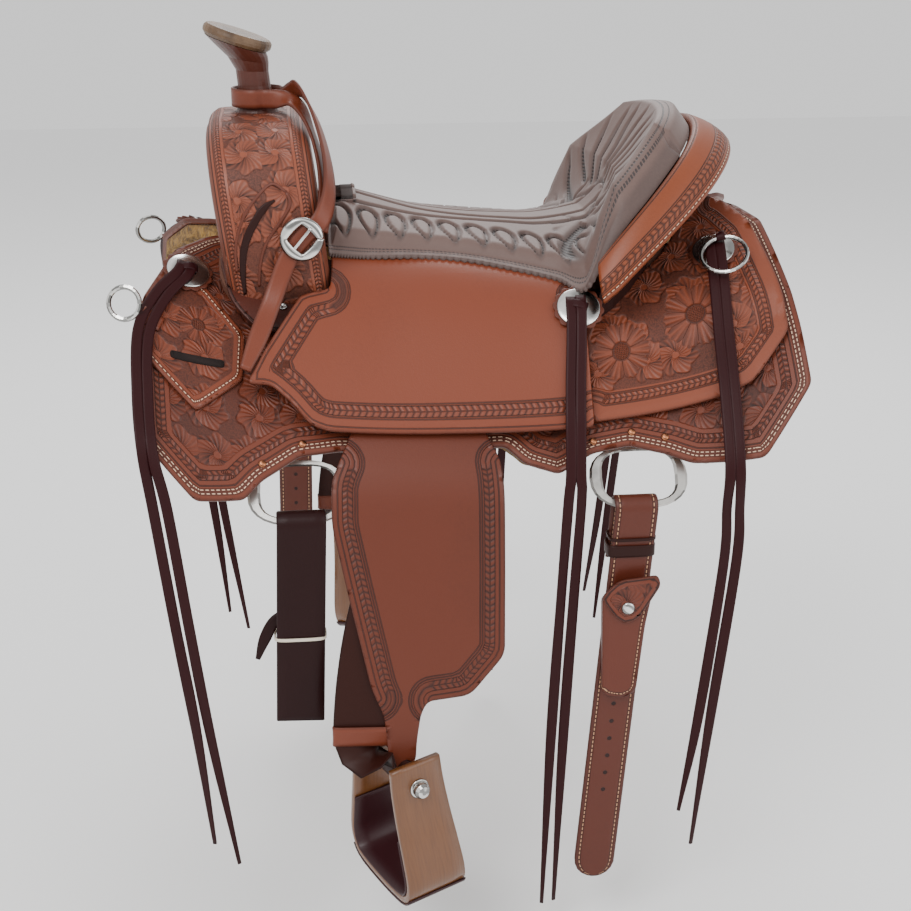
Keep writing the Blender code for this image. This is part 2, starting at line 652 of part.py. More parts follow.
# ---- skirts, fleece, jockeys -----------------------------------------------------------------
SKIRT_OUT = [(-0.2625, 0.033), (-0.2785, 0.045), (-0.3085, 0.080), (-0.3235, 0.122), (-0.3395, 0.165),
             (SKIRT_FRONT, 0.238), (-0.3435, 0.318), (-0.2895, 0.362), (-0.2415, 0.349), (-0.2225, 0.326),
             (-0.1835, 0.296), (-0.1435, 0.288), (0.0275, 0.284), (0.0465, 0.303), (0.0815, 0.316),
             (0.1185, 0.297), (0.1565, 0.294), (0.1925, 0.308), (0.2205, 0.324), (0.2945, 0.341),
             (SKIRT_REAR, 0.290), (0.3465, 0.225), (0.3445, 0.182), (0.3335, 0.071), (0.3145, 0.030),
             (0.2975, 0.008), (0.2650, 0.008), (0.2400, 0.052), (-0.20, 0.052)]
FLEECE_OUT = [(-0.2595, 0.037), (-0.2750, 0.049), (-0.3045, 0.083), (-0.3195, 0.124), (-0.3355, 0.166),
              (-0.3435, 0.239), (-0.3395, 0.316), (-0.2885, 0.357), (-0.2525, 0.347), (-0.2440, 0.292),
              (-0.2150, 0.264), (-0.1400, 0.258), (0.0275, 0.279), (0.0485, 0.298), (0.0800, 0.308),
              (0.1040, 0.268), (0.1600, 0.258), (0.2180, 0.268), (0.2330, 0.322), (0.2925, 0.336),
              (0.3435, 0.288), (0.3425, 0.225), (0.3405, 0.183), (0.3295, 0.073), (0.3110, 0.034),
              (0.2955, 0.012), (0.2680, 0.012), (0.2440, 0.056), (-0.197, 0.056)]
REAR_OUT = [(0.1200, 0.268), (0.2595, 0.266), (0.2905, 0.261), (0.3315, 0.225), (0.3325, 0.199),
            (0.3155, 0.078), (0.2995, 0.038), (0.2800, 0.012), (0.2500, 0.012), (0.2430, 0.050),
            (0.2180, 0.085), (0.1850, 0.112), (0.1500, 0.128), (0.1200, 0.136)]
for word, side in SIDES:
    panel(f"fleece_{word}", FLEECE_OUT, *FLEECE_N, side, FLEECE)
    panel(f"skirt_{word}", SKIRT_OUT, *SKIRT_N, side, LEATHER)
    panel(f"rear_jockey_{word}", REAR_OUT, REAR_TOP,
          lambda x, s: REAR_TOP(x, s) + REAR_JOCKEY_THICK, side, LEATHER)
    keeper = panel(f"latigo_keeper_{word}",
                   rounded([(-0.3165, 0.126), (-0.3435, 0.227), (-0.2865, 0.272), (-0.2395, 0.225),
                            (-0.2365, 0.172), (-0.2775, 0.122)], 0.006), *KEEPER_N, side, TAN)
    slot = panel(f"cut_slot_{word}", rounded([(-0.3115, 0.215), (-0.2575, 0.208), (-0.2575, 0.218),
                                              (-0.3115, 0.225)], 0.0045), 0.0, 0.06, side, TREE)
    boolean(keeper, slot, "DIFFERENCE")


# ---- conchos and rings ------------------------------------------------------------------------
def on_side(x, s, n, side):
    return side_point(x, s, n, side), side_normal(x, s, side)


def concho(name, centre, normal, radius=CONCHO_R):
    prof = ((0.0, radius - 0.0008), (0.0012, radius), (0.0030, radius * 0.80),
            (0.0042, radius * 0.55), (0.0050, radius * 0.25))
    return loft(name, [circle(centre + normal * h, normal, r, 28) for h, r in prof], STEEL, 50)


MID_CONCHO = (0.1120, 0.1800)
for word, side in SIDES:
    p, n = on_side(-0.2945, 0.112, KEEPER_N[1] + 0.0024, side)
    concho(f"concho_front_{word}", p, n)
    p, n = on_side(0.2715, 0.103, GULLET_CUT + 0.0005 + REAR_JOCKEY_THICK + 0.0028, side)
    concho(f"concho_rear_{word}", p, n)
    x, y = MID_CONCHO
    d = 0.004
    slope = (seat_height(x, y + d) - seat_height(x, y - d)) / (2 * d)
    n = Vector((-0.04, side * -slope, 1)).normalized()
    p = Vector((x, side * y, seat_height(x, y))) + n * 0.0022
    concho(f"concho_middle_{word}", p, n)

DEE_FRONT, DEE_REAR = (-0.187, 0.331), (0.166, 0.325)


def dee(name, x, s, side, mat):
    """Flat rigging plate dee: an oval ring, broad at both lobes and along its lower bar."""
    c, n = side_point(x, s, 0.0060, side), Vector((0, side * math.sin(RIDGE_ANGLE + 0.30 / SIDE_RADIUS),
                                                   math.cos(RIDGE_ANGLE + 0.30 / SIDE_RADIUS)))
    u = Vector((1, 0, 0))
    v = n.cross(u) * side       # up the side
    if v.z < 0:
        v = -v
    count, thick = 28, 0.0022
    rings = []
    for i in range(count):
        a = 2 * math.pi * i / count
        ca, sa = math.cos(a), math.sin(a)
        out = Vector((0.052 * math.copysign(abs(ca) ** 0.8, ca), 0.035 * math.copysign(abs(sa) ** 0.85, sa)))
        hole = Vector((0.0385 * math.copysign(abs(ca) ** 0.6, ca),
                       0.0010 + 0.0275 * math.copysign(abs(sa) ** 0.6, sa)))
        loop = []
        for t, h in ((0.0, 0.0), (0.2, -1.0), (0.8, -1.0), (1.0, 0.0), (0.8, 1.0), (0.2, 1.0)):
            q = out * (1 - t) + hole * t
            loop.append(c + u * q.x + v * q.y + n * (h * thick))
        rings.append(loop)
    bm = bmesh.new()
    loops = [[bm.verts.new(p) for p in r] for r in rings]
    for i in range(count):
        p, q = loops[i], loops[(i + 1) % count]
        for k in range(6):
            bm.faces.new([p[k], q[k], q[(k + 1) % 6], p[(k + 1) % 6]])
    finish(name, bm, mat, 70)
    return c, v, n


DEES = {}
for word, side in SIDES:
    DEES["front", side] = dee(f"rigging_dee_front_{word}", *DEE_FRONT, side, STEEL)
    DEES["rear", side] = dee(f"rigging_dee_rear_{word}", *DEE_REAR, side, STEEL)

for word, side in SIDES:
    ring(f"breast_ring_{word}", (-0.3560, side * 0.182, -0.004), (-0.25, side, 0.25), 0.0165, 0.0027, STEEL, 24, 8)
    p, n = on_side(0.2760, 0.125, 0.0600, side)
    ring(f"rear_ring_{word}", p, n, 0.0245, 0.0022, STEEL, 28, 8)

# ---- stirrup leathers, fenders, stirrups --------------------------------------------------------
HANGER_SLOPE = 2 * ROCK_2 * HANGER_X + 4 * ROCK_4 * HANGER_X ** 3


def hanger_point(x, s, n, side):
    """Side surface made straight along x, so that the leather is free to swing in its gap."""
    p = side_point(HANGER_X, s, n, side)
    return Vector((x, p.y, p.z + HANGER_SLOPE * (x - HANGER_X) * 1.15))


HANGER_OUT = [(-0.102, 0.172), (-0.030, 0.172), (-0.030, 0.235), (0.000, 0.258), (0.012, 0.280),
              (0.021, HINGE_S - 0.0004), (-0.145, HINGE_S - 0.0004), (-0.135, 0.280), (-0.126, 0.258),
              (-0.102, 0.235)]


def hang(w):
    """Distance w below the hinge line: run out, drop and inclination of the hanging leather."""
    a0 = RIDGE_ANGLE + HINGE_S / SIDE_RADIUS
    bend = FENDER_BEND_R * (FENDER_END_ANGLE - a0)
    b = min(w, bend)
    a = a0 + b / FENDER_BEND_R
    y = FENDER_BEND_R * (math.sin(a) - math.sin(a0))
    z = -FENDER_BEND_R * (math.cos(a0) - math.cos(a))
    rest = max(0.0, w - bend)
    return y + rest * math.cos(a), z - rest * math.sin(a), a


HANG_LINES = [0.0, 0.014, 0.028, 0.042, 0.0556, 0.16, 0.24, 0.30]


def hang_point(x, w, n, side):
    """A point of the hanging leather, n outside the middle of its thickness."""
    w0 = max([k for k in HANG_LINES if k <= w + 1e-9])
    later = [k for k in HANG_LINES if k > w + 1e-9]
    w1 = later[0] if later else w0 + 0.1
    f = (w - w0) / (w1 - w0)
    (ya, za, aa), (yb, zb, ab) = hang(w0), hang(w1)
    pa = Vector((ya + n * math.sin(aa), za + n * math.cos(aa)))
    pb = Vector((yb + n * math.sin(ab), zb + n * math.cos(ab)))
    q = pa * (1 - f) + pb * f
    base = hanger_point(x, HINGE_S, sum(HANGER_N) / 2, side)
    return Vector((x, base.y + side * q.x, base.z + q.y))


def hang_panel(name, outline, n0, n1, side, mat):
    xs = [p[0] for p in outline]
    ws = [p[1] for p in outline]
    flat = flat_cut(outline, lines_between(min(xs), max(xs), STEP_X),
                    [k for k in HANG_LINES if min(ws) < k < max(ws)])
    return slab(name, flat, lambda x, w: hang_point(x, w, n0, side),
                lambda x, w: hang_point(x, w, n1, side), mat)


FENDER_OUT = [(-0.1452, 0.0006), (0.0212, 0.0006), (0.0225, 0.030), (0.0215, 0.110), (0.0195, 0.200),
              (-0.0175, 0.243), (-0.0655, 0.249), (-0.0730, 0.264), (-0.0720, 0.276), (-0.1000, 0.276),
              (-0.1060, 0.264), (-0.1195, 0.235), (-0.1395, 0.140), (-0.1545, 0.064), (-0.1535, 0.020)]
STRAP_OUT = [(-0.123, 0.0006), (-0.050, 0.0006), (-0.060, 0.10), (-0.090, 0.240), (-0.094, 0.262),
             (-0.170, 0.262), (-0.166, 0.240), (-0.138, 0.10)]


def frame_of_stirrup(side):
    """Bolt centre, bolt axis (outwards), fore-aft axis and up axis of a hanging stirrup."""
    c = Vector((STIRRUP_BOLT.x, side * STIRRUP_BOLT.y, STIRRUP_BOLT.z))
    out = Vector((math.sin(STIRRUP_TURN), side * math.cos(STIRRUP_TURN), 0)).normalized()
    fore = Vector((-math.cos(STIRRUP_TURN), side * math.sin(STIRRUP_TURN), 0)).normalized()
    up = Vector((0, 0, 1))
    c_, s_ = math.cos(STIRRUP_TILT), math.sin(STIRRUP_TILT)
    return c, out, (fore * c_ - up * s_).normalized(), (up * c_ + fore * s_).normalized()


BELL = [(0.0400, 0.028), (0.0405, 0.0), (0.0460, -0.035), (0.0545, -0.070), (0.0600, -0.098),
        (0.0560, -0.114), (0.0430, -0.1225), (0.0, -0.1255)]     # inside of the wood: (half width, height)


def bell_path():
    right = [Vector(p) for p in BELL]
    return right + [Vector((-p.x, p.y)) for p in reversed(right[:-1])]


def band(name, path, depth, inside, outside, frame, mat):
    """A strip bent round the bell: path in its plane, depth the fore-aft width at each point."""
    c, out, fore, up = frame
    bm = bmesh.new()
    rings = []
    for i, p in enumerate(path):
        a, b = path[max(i - 1, 0)], path[min(i + 1, len(path) - 1)]
        t = (b - a).normalized()
        nrm = Vector((t.y, -t.x))
        if nrm.dot(p - Vector((0, -0.05))) < 0:
            nrm = -nrm
        q0, q1 = p + nrm * inside, p + nrm * outside
        h = depth(p.y) / 2
        rings.append([bm.verts.new(c + out * q.x + up * q.y + fore * f)
                      for q, f in ((q0, -h), (q1, -h), (q1, h), (q0, h))])
    for r0, r1 in zip(rings, rings[1:]):
        for k in range(4):
            bm.faces.new([r0[k], r0[(k + 1) % 4], r1[(k + 1) % 4], r1[k]])
    bm.faces.new(rings[0][::-1])
    bm.faces.new(rings[-1])
    return finish(name, bm, mat)


def stirrup_depth(h):
    t = min(1.0, max(0.0, (0.03 - h) / 0.15))
    return STIRRUP_WIDTH_TOP * (1 - t) + STIRRUP_WIDTH_LOW * t


def rod(name, a, b, radius, mat, count=16):
    axis = (Vector(b) - Vector(a)).normalized()
    return loft(name, [circle(a, axis, radius, count), circle(b, axis, radius, count)], mat)


for word, side in SIDES:
    flat = flat_cut(HANGER_OUT, [-0.10, -0.05], lines_between(0.17, HINGE_S, STEP_S))
    slab(f"stirrup_leather_upper_{word}", flat,
         lambda x, s: hanger_point(x, s, HANGER_N[0], side),
         lambda x, s: hanger_point(x, s, HANGER_N[1], side), TAN)
    hang_panel(f"fender_{word}", FENDER_OUT, -FENDER_THICK / 2, FENDER_THICK / 2, side, TAN)

    c, out, fore, up = frame_of_stirrup(side)
    # Stirrup leather: a flat strap behind the fender, a twisted neck, and a loop round the bolt.
    n_in = -FENDER_THICK / 2 - 0.0028
    path, across, widths = [], [], []
    for w, x, wd in ((0.0012, -0.0675, 0.073), (0.014, -0.069, 0.073), (0.028, -0.071, 0.073),
                     (0.042, -0.073, 0.073), (0.0556, -0.075, 0.073), (0.16, -0.105, 0.073),
                     (0.225, -0.118, 0.073), (0.284, -0.124, 0.072)):
        path.append(hang_point(x, w, n_in, side))
        across.append(Vector((1, 0, 0)))
        widths.append(wd)
    start, loop_r = path[-1], 0.0105
    top = c + up * 0.021 + fore * (loop_r * 0.6)
    for k in range(1, 6):
        t = k / 6
        ease = t * t * (3 - 2 * t)
        path.append(start * (1 - t) + top * t + Vector((-0.006, 0, -0.010)) * math.sin(math.pi * t))
        across.append(Vector((1, 0, 0)).lerp(out, ease).normalized())
        widths.append(0.071 * (1 - t) + 0.066 * t)
    for deg in range(55, 55 + 271, 30):
        a = math.radians(deg)
        path.append(c + fore * (loop_r * math.sin(a + math.pi / 2 - math.pi / 2)) + up * (loop_r * math.cos(a)))
        across.append(out)
        widths.append(0.066)
    ribbon(f"stirrup_leather_lower_{word}", path, across, widths, 0.0036, HORN_LEATHER)

    frame = (c, out, fore, up)
    wood = band(f"stirrup_{word}", bell_path(), stirrup_depth, 0.0, WOOD, frame, OAK)
    drill = rod(f"cut_bolt_{word}", c - out * 0.08, c + out * 0.08, 0.0047, TREE)
    boolean(wood, drill, "DIFFERENCE")
    bolt_prof = ((-0.0560, 0.0035), (-0.0555, 0.0072), (-0.0505, 0.0078), (-0.0504, 0.0042),
                 (0.0504, 0.0042), (0.0505, 0.0085), (0.0560, 0.0085), (0.0590, 0.0062), (0.0600, 0.0025))
    loft(f"stirrup_bolt_{word}", [circle(c + out * t, out, r, 20) for t, r in bolt_prof], STEEL)
    low = [p for p in bell_path() if p.y < -0.05]
    band(f"stirrup_tread_{word}", low, lambda h: stirrup_depth(h) + 0.001, -0.0030, -0.0004, frame, DARK)

# ---- hanging straps ------------------------------------------------------------------------------
def over_bar_path(c, v, n, side, out_drop, in_drop, drift, width, name, mat, thick=0.0036, tip=0.0, gap=0.0108, shift=0.0):
    """A strap folded over the lower bar of a dee: inner leg, fold, outer leg hanging down."""
    bar = c - v * 0.03075 + Vector((shift, 0, 0))    # middle of the dee's lower bar
    out = Vector((0, side, 0))
    points, widths = [], []
    r = gap
    lowest_in = bar + Vector((drift * in_drop / max(out_drop, 1e-6), 0, -in_drop)) - out * r
    points.append(lowest_in)
    widths.append(width)
    for deg in range(0, 181, 30):
        a = math.radians(deg)
        points.append(bar - out * (r * math.cos(a)) + Vector((0, 0, r * math.sin(a))))
        widths.append(width)
    points.append(bar + out * r + Vector((drift * 0.5, 0, -out_drop * 0.5)))
    widths.append(width)
    if tip:
        points.append(bar + out * r + Vector((drift * 0.96, 0, -out_drop + tip)))
        widths.append(width)
        for t, k in ((0.55, 0.86), (0.85, 0.55), (1.0, 0.25)):
            points.append(bar + out * r + Vector((drift, 0, -out_drop + tip * (1 - t))))
            widths.append(width * k)
    else:
        points.append(bar + out * r + Vector((drift, 0, -out_drop)))
        widths.append(width)
    ribbon(name, points, [Vector((1, 0, 0))] * len(points), widths, thick, mat)
    return bar


BILLET_W, LATIGO_W = 0.045, 0.050
over_bar_path(*DEES["front", NEAR], NEAR, 0.220, 0.212, -0.008, LATIGO_W, "latigo_near", DARK, shift=0.002)
over_bar_path(*DEES["front", OFF], OFF, 0.330, 0.060, -0.006, BILLET_W, "front_billet_off", TAN, tip=0.03)
# The near rear billet hangs full length; the off one is the short half of the pair.
billet_bar = over_bar_path(*DEES["rear", NEAR], NEAR, 0.440, 0.062, -0.032, BILLET_W, "rear_billet_near",
                           TAN, tip=0.03, shift=-0.007)
over_bar_path(*DEES["rear", OFF], OFF, 0.130, 0.062, -0.004, BILLET_W, "rear_billet_off", TAN, tip=0.03,
              shift=-0.007)

# Knife sheath on the near billet, with a flap that lifts.
face_y = billet_bar.y - 0.0108 - 0.0018 - 0.0004
sheath = loft("knife_sheath", [[Vector((x, y, z)) for x, z in (
    (0.124, -0.302), (0.176, -0.300), (0.170, -0.335), (0.163, -0.412), (0.151, -0.420), (0.127, -0.416))]
    for y in (face_y, face_y - 0.011)], TAN)
flap = loft("sheath_flap", [[Vector((x, y, z)) for x, z in (
    (0.121, -0.300), (0.140, -0.281), (0.181, -0.277), (0.184, -0.288), (0.163, -0.324), (0.149, -0.331),
    (0.137, -0.323))] for y in (face_y - 0.0115, face_y - 0.0150)], TAN)


# ---- rope strap and its buckle -----------------------------------------------------------------
def facing(points, normals):
    """Width directions that make a strap face along the given normals."""
    out = []
    for i, n in enumerate(normals):
        t = Vector(points[min(i + 1, len(points) - 1)]) - Vector(points[max(i - 1, 0)])
        out.append(t.cross(Vector(n)).normalized())
    return out


HORN_C, LOOP_R, LOOP_Z = Vector((-0.2155, 0, 0)), 0.0275, 0.1780
BUCKLE_C, BUCKLE_N = Vector((-0.174, -0.1600, 0.053)), Vector((0, -1, 0.06)).normalized()
outer_run = [((-0.1700, -0.043, 0.1890), (0.7, -0.4, 0.6)), ((-0.1550, -0.070, 0.1630), (0.9, -0.3, 0.3)),
             ((-0.1450, -0.100, 0.1270), (0.9, -0.4, 0.2)), ((-0.1440, -0.130, 0.0960), (0.7, -0.7, 0.1)),
             ((-0.1540, -0.1530, 0.0710), (0.2, -1, 0.1)), ((-0.174, -0.1560, 0.053), (0, -1, 0.06)),
             ((-0.190, -0.1580, 0.030), (0, -1, 0.1))]
outer_run += [(side_point(x, s, n, NEAR), side_normal(x, s, NEAR)) for x, s, n in (
    (-0.2065, 0.150, 0.063), (-0.222, 0.190, 0.0545), (-0.236, 0.226, 0.0500))]
inner_run = [((-0.1560, -0.1500, 0.0600), (0.2, -1, 0.1)), ((-0.1490, -0.130, 0.0860), (0.7, -0.7, 0.1)),
             ((-0.1510, -0.099, 0.1190), (0.9, -0.4, 0.2)), ((-0.1610, -0.070, 0.1530), (0.9, -0.3, 0.3)),
             ((-0.1765, -0.0455, 0.1770), (0.5, -0.7, 0.5))]
loop = []
for deg in range(290, -1, -29):
    a = math.radians(deg)
    d = Vector((math.cos(a), math.sin(a), 0))
    loop.append((HORN_C + d * LOOP_R + Vector((0, 0, LOOP_Z)), d))
loop += [((-0.1790, -0.018, 0.1850), (0.9, 0.4, 0.3))]
path = inner_run + loop + outer_run
points, normals = [p for p, n in path], [n for p, n in path]
ribbon("rope_strap", points, facing(points, normals), 0.020, 0.0030, TAN)


def plate_ring(name, centre, normal, outer, inner, thick, mat, count=32):
    """A flat ring whose outline and opening are given as functions of the angle."""
    u = Vector((0, 0, 1)).cross(normal).normalized()
    v = Vector(normal).cross(u)
    bm = bmesh.new()
    loops = []
    for i in range(count):
        a = 2 * math.pi * i / count
        d = u * math.cos(a) + v * math.sin(a)
        ro, ri = outer(a), inner(a)
        loops.append([bm.verts.new(centre + d * r + normal * h) for r, h in (
            (ro, 0.0), (ro - 0.001, thick), (ri + 0.001, thick), (ri, 0.0))])
    for i in range(count):
        p, q = loops[i], loops[(i + 1) % count]
        for k in range(4):
            bm.faces.new([p[k], q[k], q[(k + 1) % 4], p[(k + 1) % 4]])
    return finish(name, bm, mat, 50)


buckle = plate_ring("rope_strap_buckle", BUCKLE_C, BUCKLE_N, lambda a: 0.0225,
                    lambda a: 0.0118 / max(abs(math.cos(a)), abs(math.sin(a))) ** 0.75, 0.0028, STEEL)
bar_u = Vector((0, 0, 1)).cross(BUCKLE_N).normalized()
bar_v = BUCKLE_N.cross(bar_u)
bar = rod("cut_buckle_bar", BUCKLE_C + BUCKLE_N * 0.0014 - bar_v * 0.016,
          BUCKLE_C + BUCKLE_N * 0.0014 + bar_v * 0.016, 0.00125, STEEL, 10)
boolean(buckle, bar, "UNION")

# ---- saddle strings ------------------------------------------------------------------------------
STRING_W, STRING_T = 0.0085, 0.0020


def seat_spot(x, y, h, side):
    """A point h above the seat leather, and the normal there."""
    slope = (seat_height(x, y + 0.004) - seat_height(x, y - 0.004)) / 0.008
    n = Vector((0, -side * slope, 1)).normalized()
    return Vector((x, side * y, seat_height(x, y))) + n * h, n


def strings(name, on_leather, free, tips, side):
    """One lace through a concho: both ends lie side by side on the leather, then hang free.

    on_leather: rows (spot function, x, place, height); free: rows (x, z); tips: two (x, z)."""
    legs = []
    for k, dx in enumerate((-1, 1)):
        gap = 0.0056 * dx
        leg = [spot(x + gap, s, n, side) for spot, x, s, n in on_leather]
        hang_y = leg[-1][0].y + side * 0.0035
        for x, z in free:
            leg.append((Vector((x + gap * 1.3, hang_y, z)), Vector((0, side, 0))))
        x, z = tips[k]
        leg.append((Vector((x, hang_y, z)), Vector((0, side, 0))))
        legs.append(leg)
    path = legs[0][::-1] + legs[1]
    points, normals = [p for p, n in path], [n for p, n in path]
    widths = [0.003] + [STRING_W] * (len(path) - 2) + [0.003]
    ribbon(name, points, facing(points, normals), widths, STRING_T, DARK)


for word, side in SIDES:
    strings(f"strings_front_{word}", [(on_side, -0.2945, 0.108, 0.0375), (on_side, -0.2985, 0.122, 0.0370),
            (on_side, -0.3200, 0.158, 0.0330), (on_side, -0.3370, 0.212, 0.0330),
            (on_side, -0.3375, 0.280, 0.0320), (on_side, -0.3330, 0.335, 0.0330)],
            [(-0.3240, -0.190), (-0.3095, -0.322), (-0.2955, -0.440)],
            [(-0.2900, -0.578), (-0.2650, -0.605)], side)
    strings(f"strings_rear_{word}", [(on_side, 0.2715, 0.100, 0.0535), (on_side, 0.2705, 0.114, 0.0530),
            (on_side, 0.2680, 0.150, 0.0490), (on_side, 0.2650, 0.205, 0.0400),
            (on_side, 0.2620, 0.270, 0.0380), (on_side, 0.2605, 0.340, 0.0300)],
            [(0.2600, -0.210), (0.2600, -0.274), (0.2430, -0.450)], [(0.2195, -0.570), (0.2355, -0.614)], side)
    strings(f"strings_middle_{word}", [(seat_spot, 0.1090, 0.173, 0.0100), (seat_spot, 0.1080, 0.187, 0.0095),
            (seat_spot, 0.1060, 0.206, 0.0045), (seat_spot, 0.1020, 0.230, 0.0040),
            (seat_spot, 0.0990, 0.252, 0.0040), (on_side, 0.0970, 0.322, 0.0300)],
            [(0.0960, -0.200), (0.0905, -0.311), (0.0830, -0.480)], [(0.0700, -0.688), (0.0835, -0.685)], side)
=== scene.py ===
# %% [markdown]
# # Western saddle
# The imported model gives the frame. The hard parts keep their shapes and get better materials;
# leathers, padding, laces and the stirrups get finer pieces built on the same curves.

# %% Start
import math
import bmesh
import bpy
import numpy as np
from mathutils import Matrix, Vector


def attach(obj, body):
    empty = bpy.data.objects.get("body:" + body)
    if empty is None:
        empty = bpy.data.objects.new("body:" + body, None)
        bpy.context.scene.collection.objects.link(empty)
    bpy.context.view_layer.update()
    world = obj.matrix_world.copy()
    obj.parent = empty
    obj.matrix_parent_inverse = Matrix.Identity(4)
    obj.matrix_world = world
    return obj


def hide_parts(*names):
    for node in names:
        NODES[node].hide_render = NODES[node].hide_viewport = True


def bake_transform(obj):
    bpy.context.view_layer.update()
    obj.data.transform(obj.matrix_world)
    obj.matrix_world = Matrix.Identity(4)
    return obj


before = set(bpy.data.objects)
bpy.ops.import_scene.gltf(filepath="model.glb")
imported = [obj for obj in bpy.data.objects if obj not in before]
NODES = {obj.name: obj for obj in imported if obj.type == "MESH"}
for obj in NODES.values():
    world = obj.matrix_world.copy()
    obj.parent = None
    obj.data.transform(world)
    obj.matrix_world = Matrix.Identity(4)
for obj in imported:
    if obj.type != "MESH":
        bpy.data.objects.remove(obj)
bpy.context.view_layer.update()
NEAR, OFF = -1.0, 1.0
SIDES = (("near", NEAR), ("off", OFF))

# %% [markdown]
# ## Camera
# It stands 1.9 m from the saddle, a little ahead of the near side and above it.

# %% Camera
target, distance = Vector((0.0015, 0.0, -0.248)), 1.9
azimuth, elevation = math.radians(-6.0), math.radians(20.0)
look = Vector((-math.sin(azimuth) * math.cos(elevation), math.cos(azimuth) * math.cos(elevation),
               -math.sin(elevation)))
camera = bpy.data.objects.new("camera", bpy.data.cameras.new("camera"))
camera.data.lens, camera.data.sensor_width = 62.7, 36.0
camera.location = target - look * distance
camera.rotation_euler = look.to_track_quat("-Z", "Y").to_euler()
bpy.context.collection.objects.link(camera)
bpy.context.scene.camera = camera

# %% [markdown]
# ## Curves of the side and of the seat
# A leather is drawn flat in (x, s), s being the distance down the side, and laid on at height n.

# %% Surfaces
SIDE_R, RIDGE = 0.589, math.radians(22.0)
HINGE_S, BEND_R, END_ANGLE, HANGER_X = 0.302, 0.12, math.radians(78.0), -0.066
JOCKEY_TOP, JOCKEY_LOW_S, DISH_POWER = 0.0425, 0.30, 1.6
HINGE_N = 0.03125       # how far the stirrup leather's hinge line stands off the side
RISE_2, RISE_4 = 0.22, 2.6


def rise(x):
    """How much the side lifts toward the front and the back."""
    return RISE_2 * x ** 2 + RISE_4 * x ** 4


def rise_slope(x):
    return 2 * RISE_2 * x + 4 * RISE_4 * x ** 3


def side_point(x, s, n, side):
    """The place s down the side and n outside it."""
    a = RIDGE + s / SIDE_R
    return Vector((x, side * (SIDE_R * (math.sin(a) - math.sin(RIDGE)) + n * math.sin(a)),
                   rise(x) - SIDE_R * (math.cos(RIDGE) - math.cos(a)) + n * math.cos(a)))


def side_normal(x, s, side):
    a = RIDGE + s / SIDE_R
    return Vector((-rise_slope(x) * math.cos(a), side * math.sin(a), math.cos(a))).normalized()


def hermite(t, h, ya, ma, yb, mb):
    """Cubic from ya to yb over a span h, with slopes ma and mb at its ends."""
    return ((2 * t ** 3 - 3 * t ** 2 + 1) * ya + (t ** 3 - 2 * t ** 2 + t) * h * ma
            + (3 * t ** 2 - 2 * t ** 3) * yb + (t ** 3 - t ** 2) * h * mb)


def curve_through(points, x):
    """Smooth curve through points of rising x."""
    if x <= points[0][0]:
        return points[0][1]
    if x >= points[-1][0]:
        return points[-1][1]
    for i in range(len(points) - 1):
        (xa, ya), (xb, yb) = points[i], points[i + 1]
        if x <= xb:
            ma = mb = (yb - ya) / (xb - xa)
            if i:
                ma = (yb - points[i - 1][1]) / (xb - points[i - 1][0])
            if i + 2 < len(points):
                mb = (points[i + 2][1] - ya) / (points[i + 2][0] - xa)
            return hermite((x - xa) / (xb - xa), xb - xa, ya, ma, yb, mb)


SEAT_MID = [(-0.26, 0.078), (-0.15, 0.067), (-0.117, 0.059), (-0.061, 0.042), (-0.004, 0.032),
            (0.041, 0.028), (0.10, 0.027), (0.16, 0.031)]
SEAT_EDGE_Y = [(-0.26, 0.112), (-0.14, 0.115), (-0.08, 0.111), (-0.026, 0.110), (0.052, 0.128),
               (0.122, 0.156)]
SEAT_EDGE_Z = [(-0.26, 0.040), (-0.14, 0.024), (-0.08, 0.019), (-0.026, 0.018), (0.052, 0.007),
               (0.122, -0.006)]


def jockey_plan(s):
    a = RIDGE + s / SIDE_R
    return SIDE_R * (math.sin(a) - math.sin(RIDGE)) + JOCKEY_TOP * math.sin(a)


def seat_height(x, y):
    y = abs(y)
    mid, ye, ze = (curve_through(c, x) for c in (SEAT_MID, SEAT_EDGE_Y, SEAT_EDGE_Z))
    if y <= ye:
        return mid - (mid - ze) * (y / ye) ** DISH_POWER
    low = side_point(x, JOCKEY_LOW_S, JOCKEY_TOP, OFF)
    return hermite((y - ye) / (low.y - ye), low.y - ye, ze, -DISH_POWER * (mid - ze) / ye,
                   low.z, -math.tan(RIDGE + JOCKEY_LOW_S / SIDE_R))


def seat_point(x, s, h, side):
    """Seat leather over the plan point that lies s down the side, h above its top."""
    y = jockey_plan(s)
    slope = (seat_height(x, y + 0.002) - seat_height(x, y - 0.002)) / 0.004
    n = Vector((0, -slope, 1)).normalized()
    return Vector((x, side * (y + h * n.y), seat_height(x, y) + h * n.z))


def over_bar(s):
    """Height of a leather that lies on the bar and comes down beyond its edge."""
    t = min(1.0, max(0.0, (s - 0.167) / 0.035))
    return 0.037 * (1 - t) + 0.028 * t + 0.0015 * math.sin(math.pi * t)


def hang_point(x, w, n, side):
    """Stirrup leather and fender: w below the hinge line, n outside their middle."""
    a0 = RIDGE + HINGE_S / SIDE_R
    slope = rise_slope(HANGER_X) * 1.15 * (x - HANGER_X)
    if w < 0:
        p = side_point(HANGER_X, HINGE_S + w, HINGE_N + n, side)
        return Vector((x, p.y, p.z + slope))
    p = side_point(HANGER_X, HINGE_S, HINGE_N, side)
    bend = BEND_R * (END_ANGLE - a0)
    a = a0 + min(w, bend) / BEND_R
    rest = max(0.0, w - bend)
    y = BEND_R * (math.sin(a) - math.sin(a0)) + rest * math.cos(a) + n * math.sin(a)
    z = -BEND_R * (math.cos(a0) - math.cos(a)) - rest * math.sin(a) + n * math.cos(a)
    return Vector((x, p.y + side * y, p.z + z + slope))


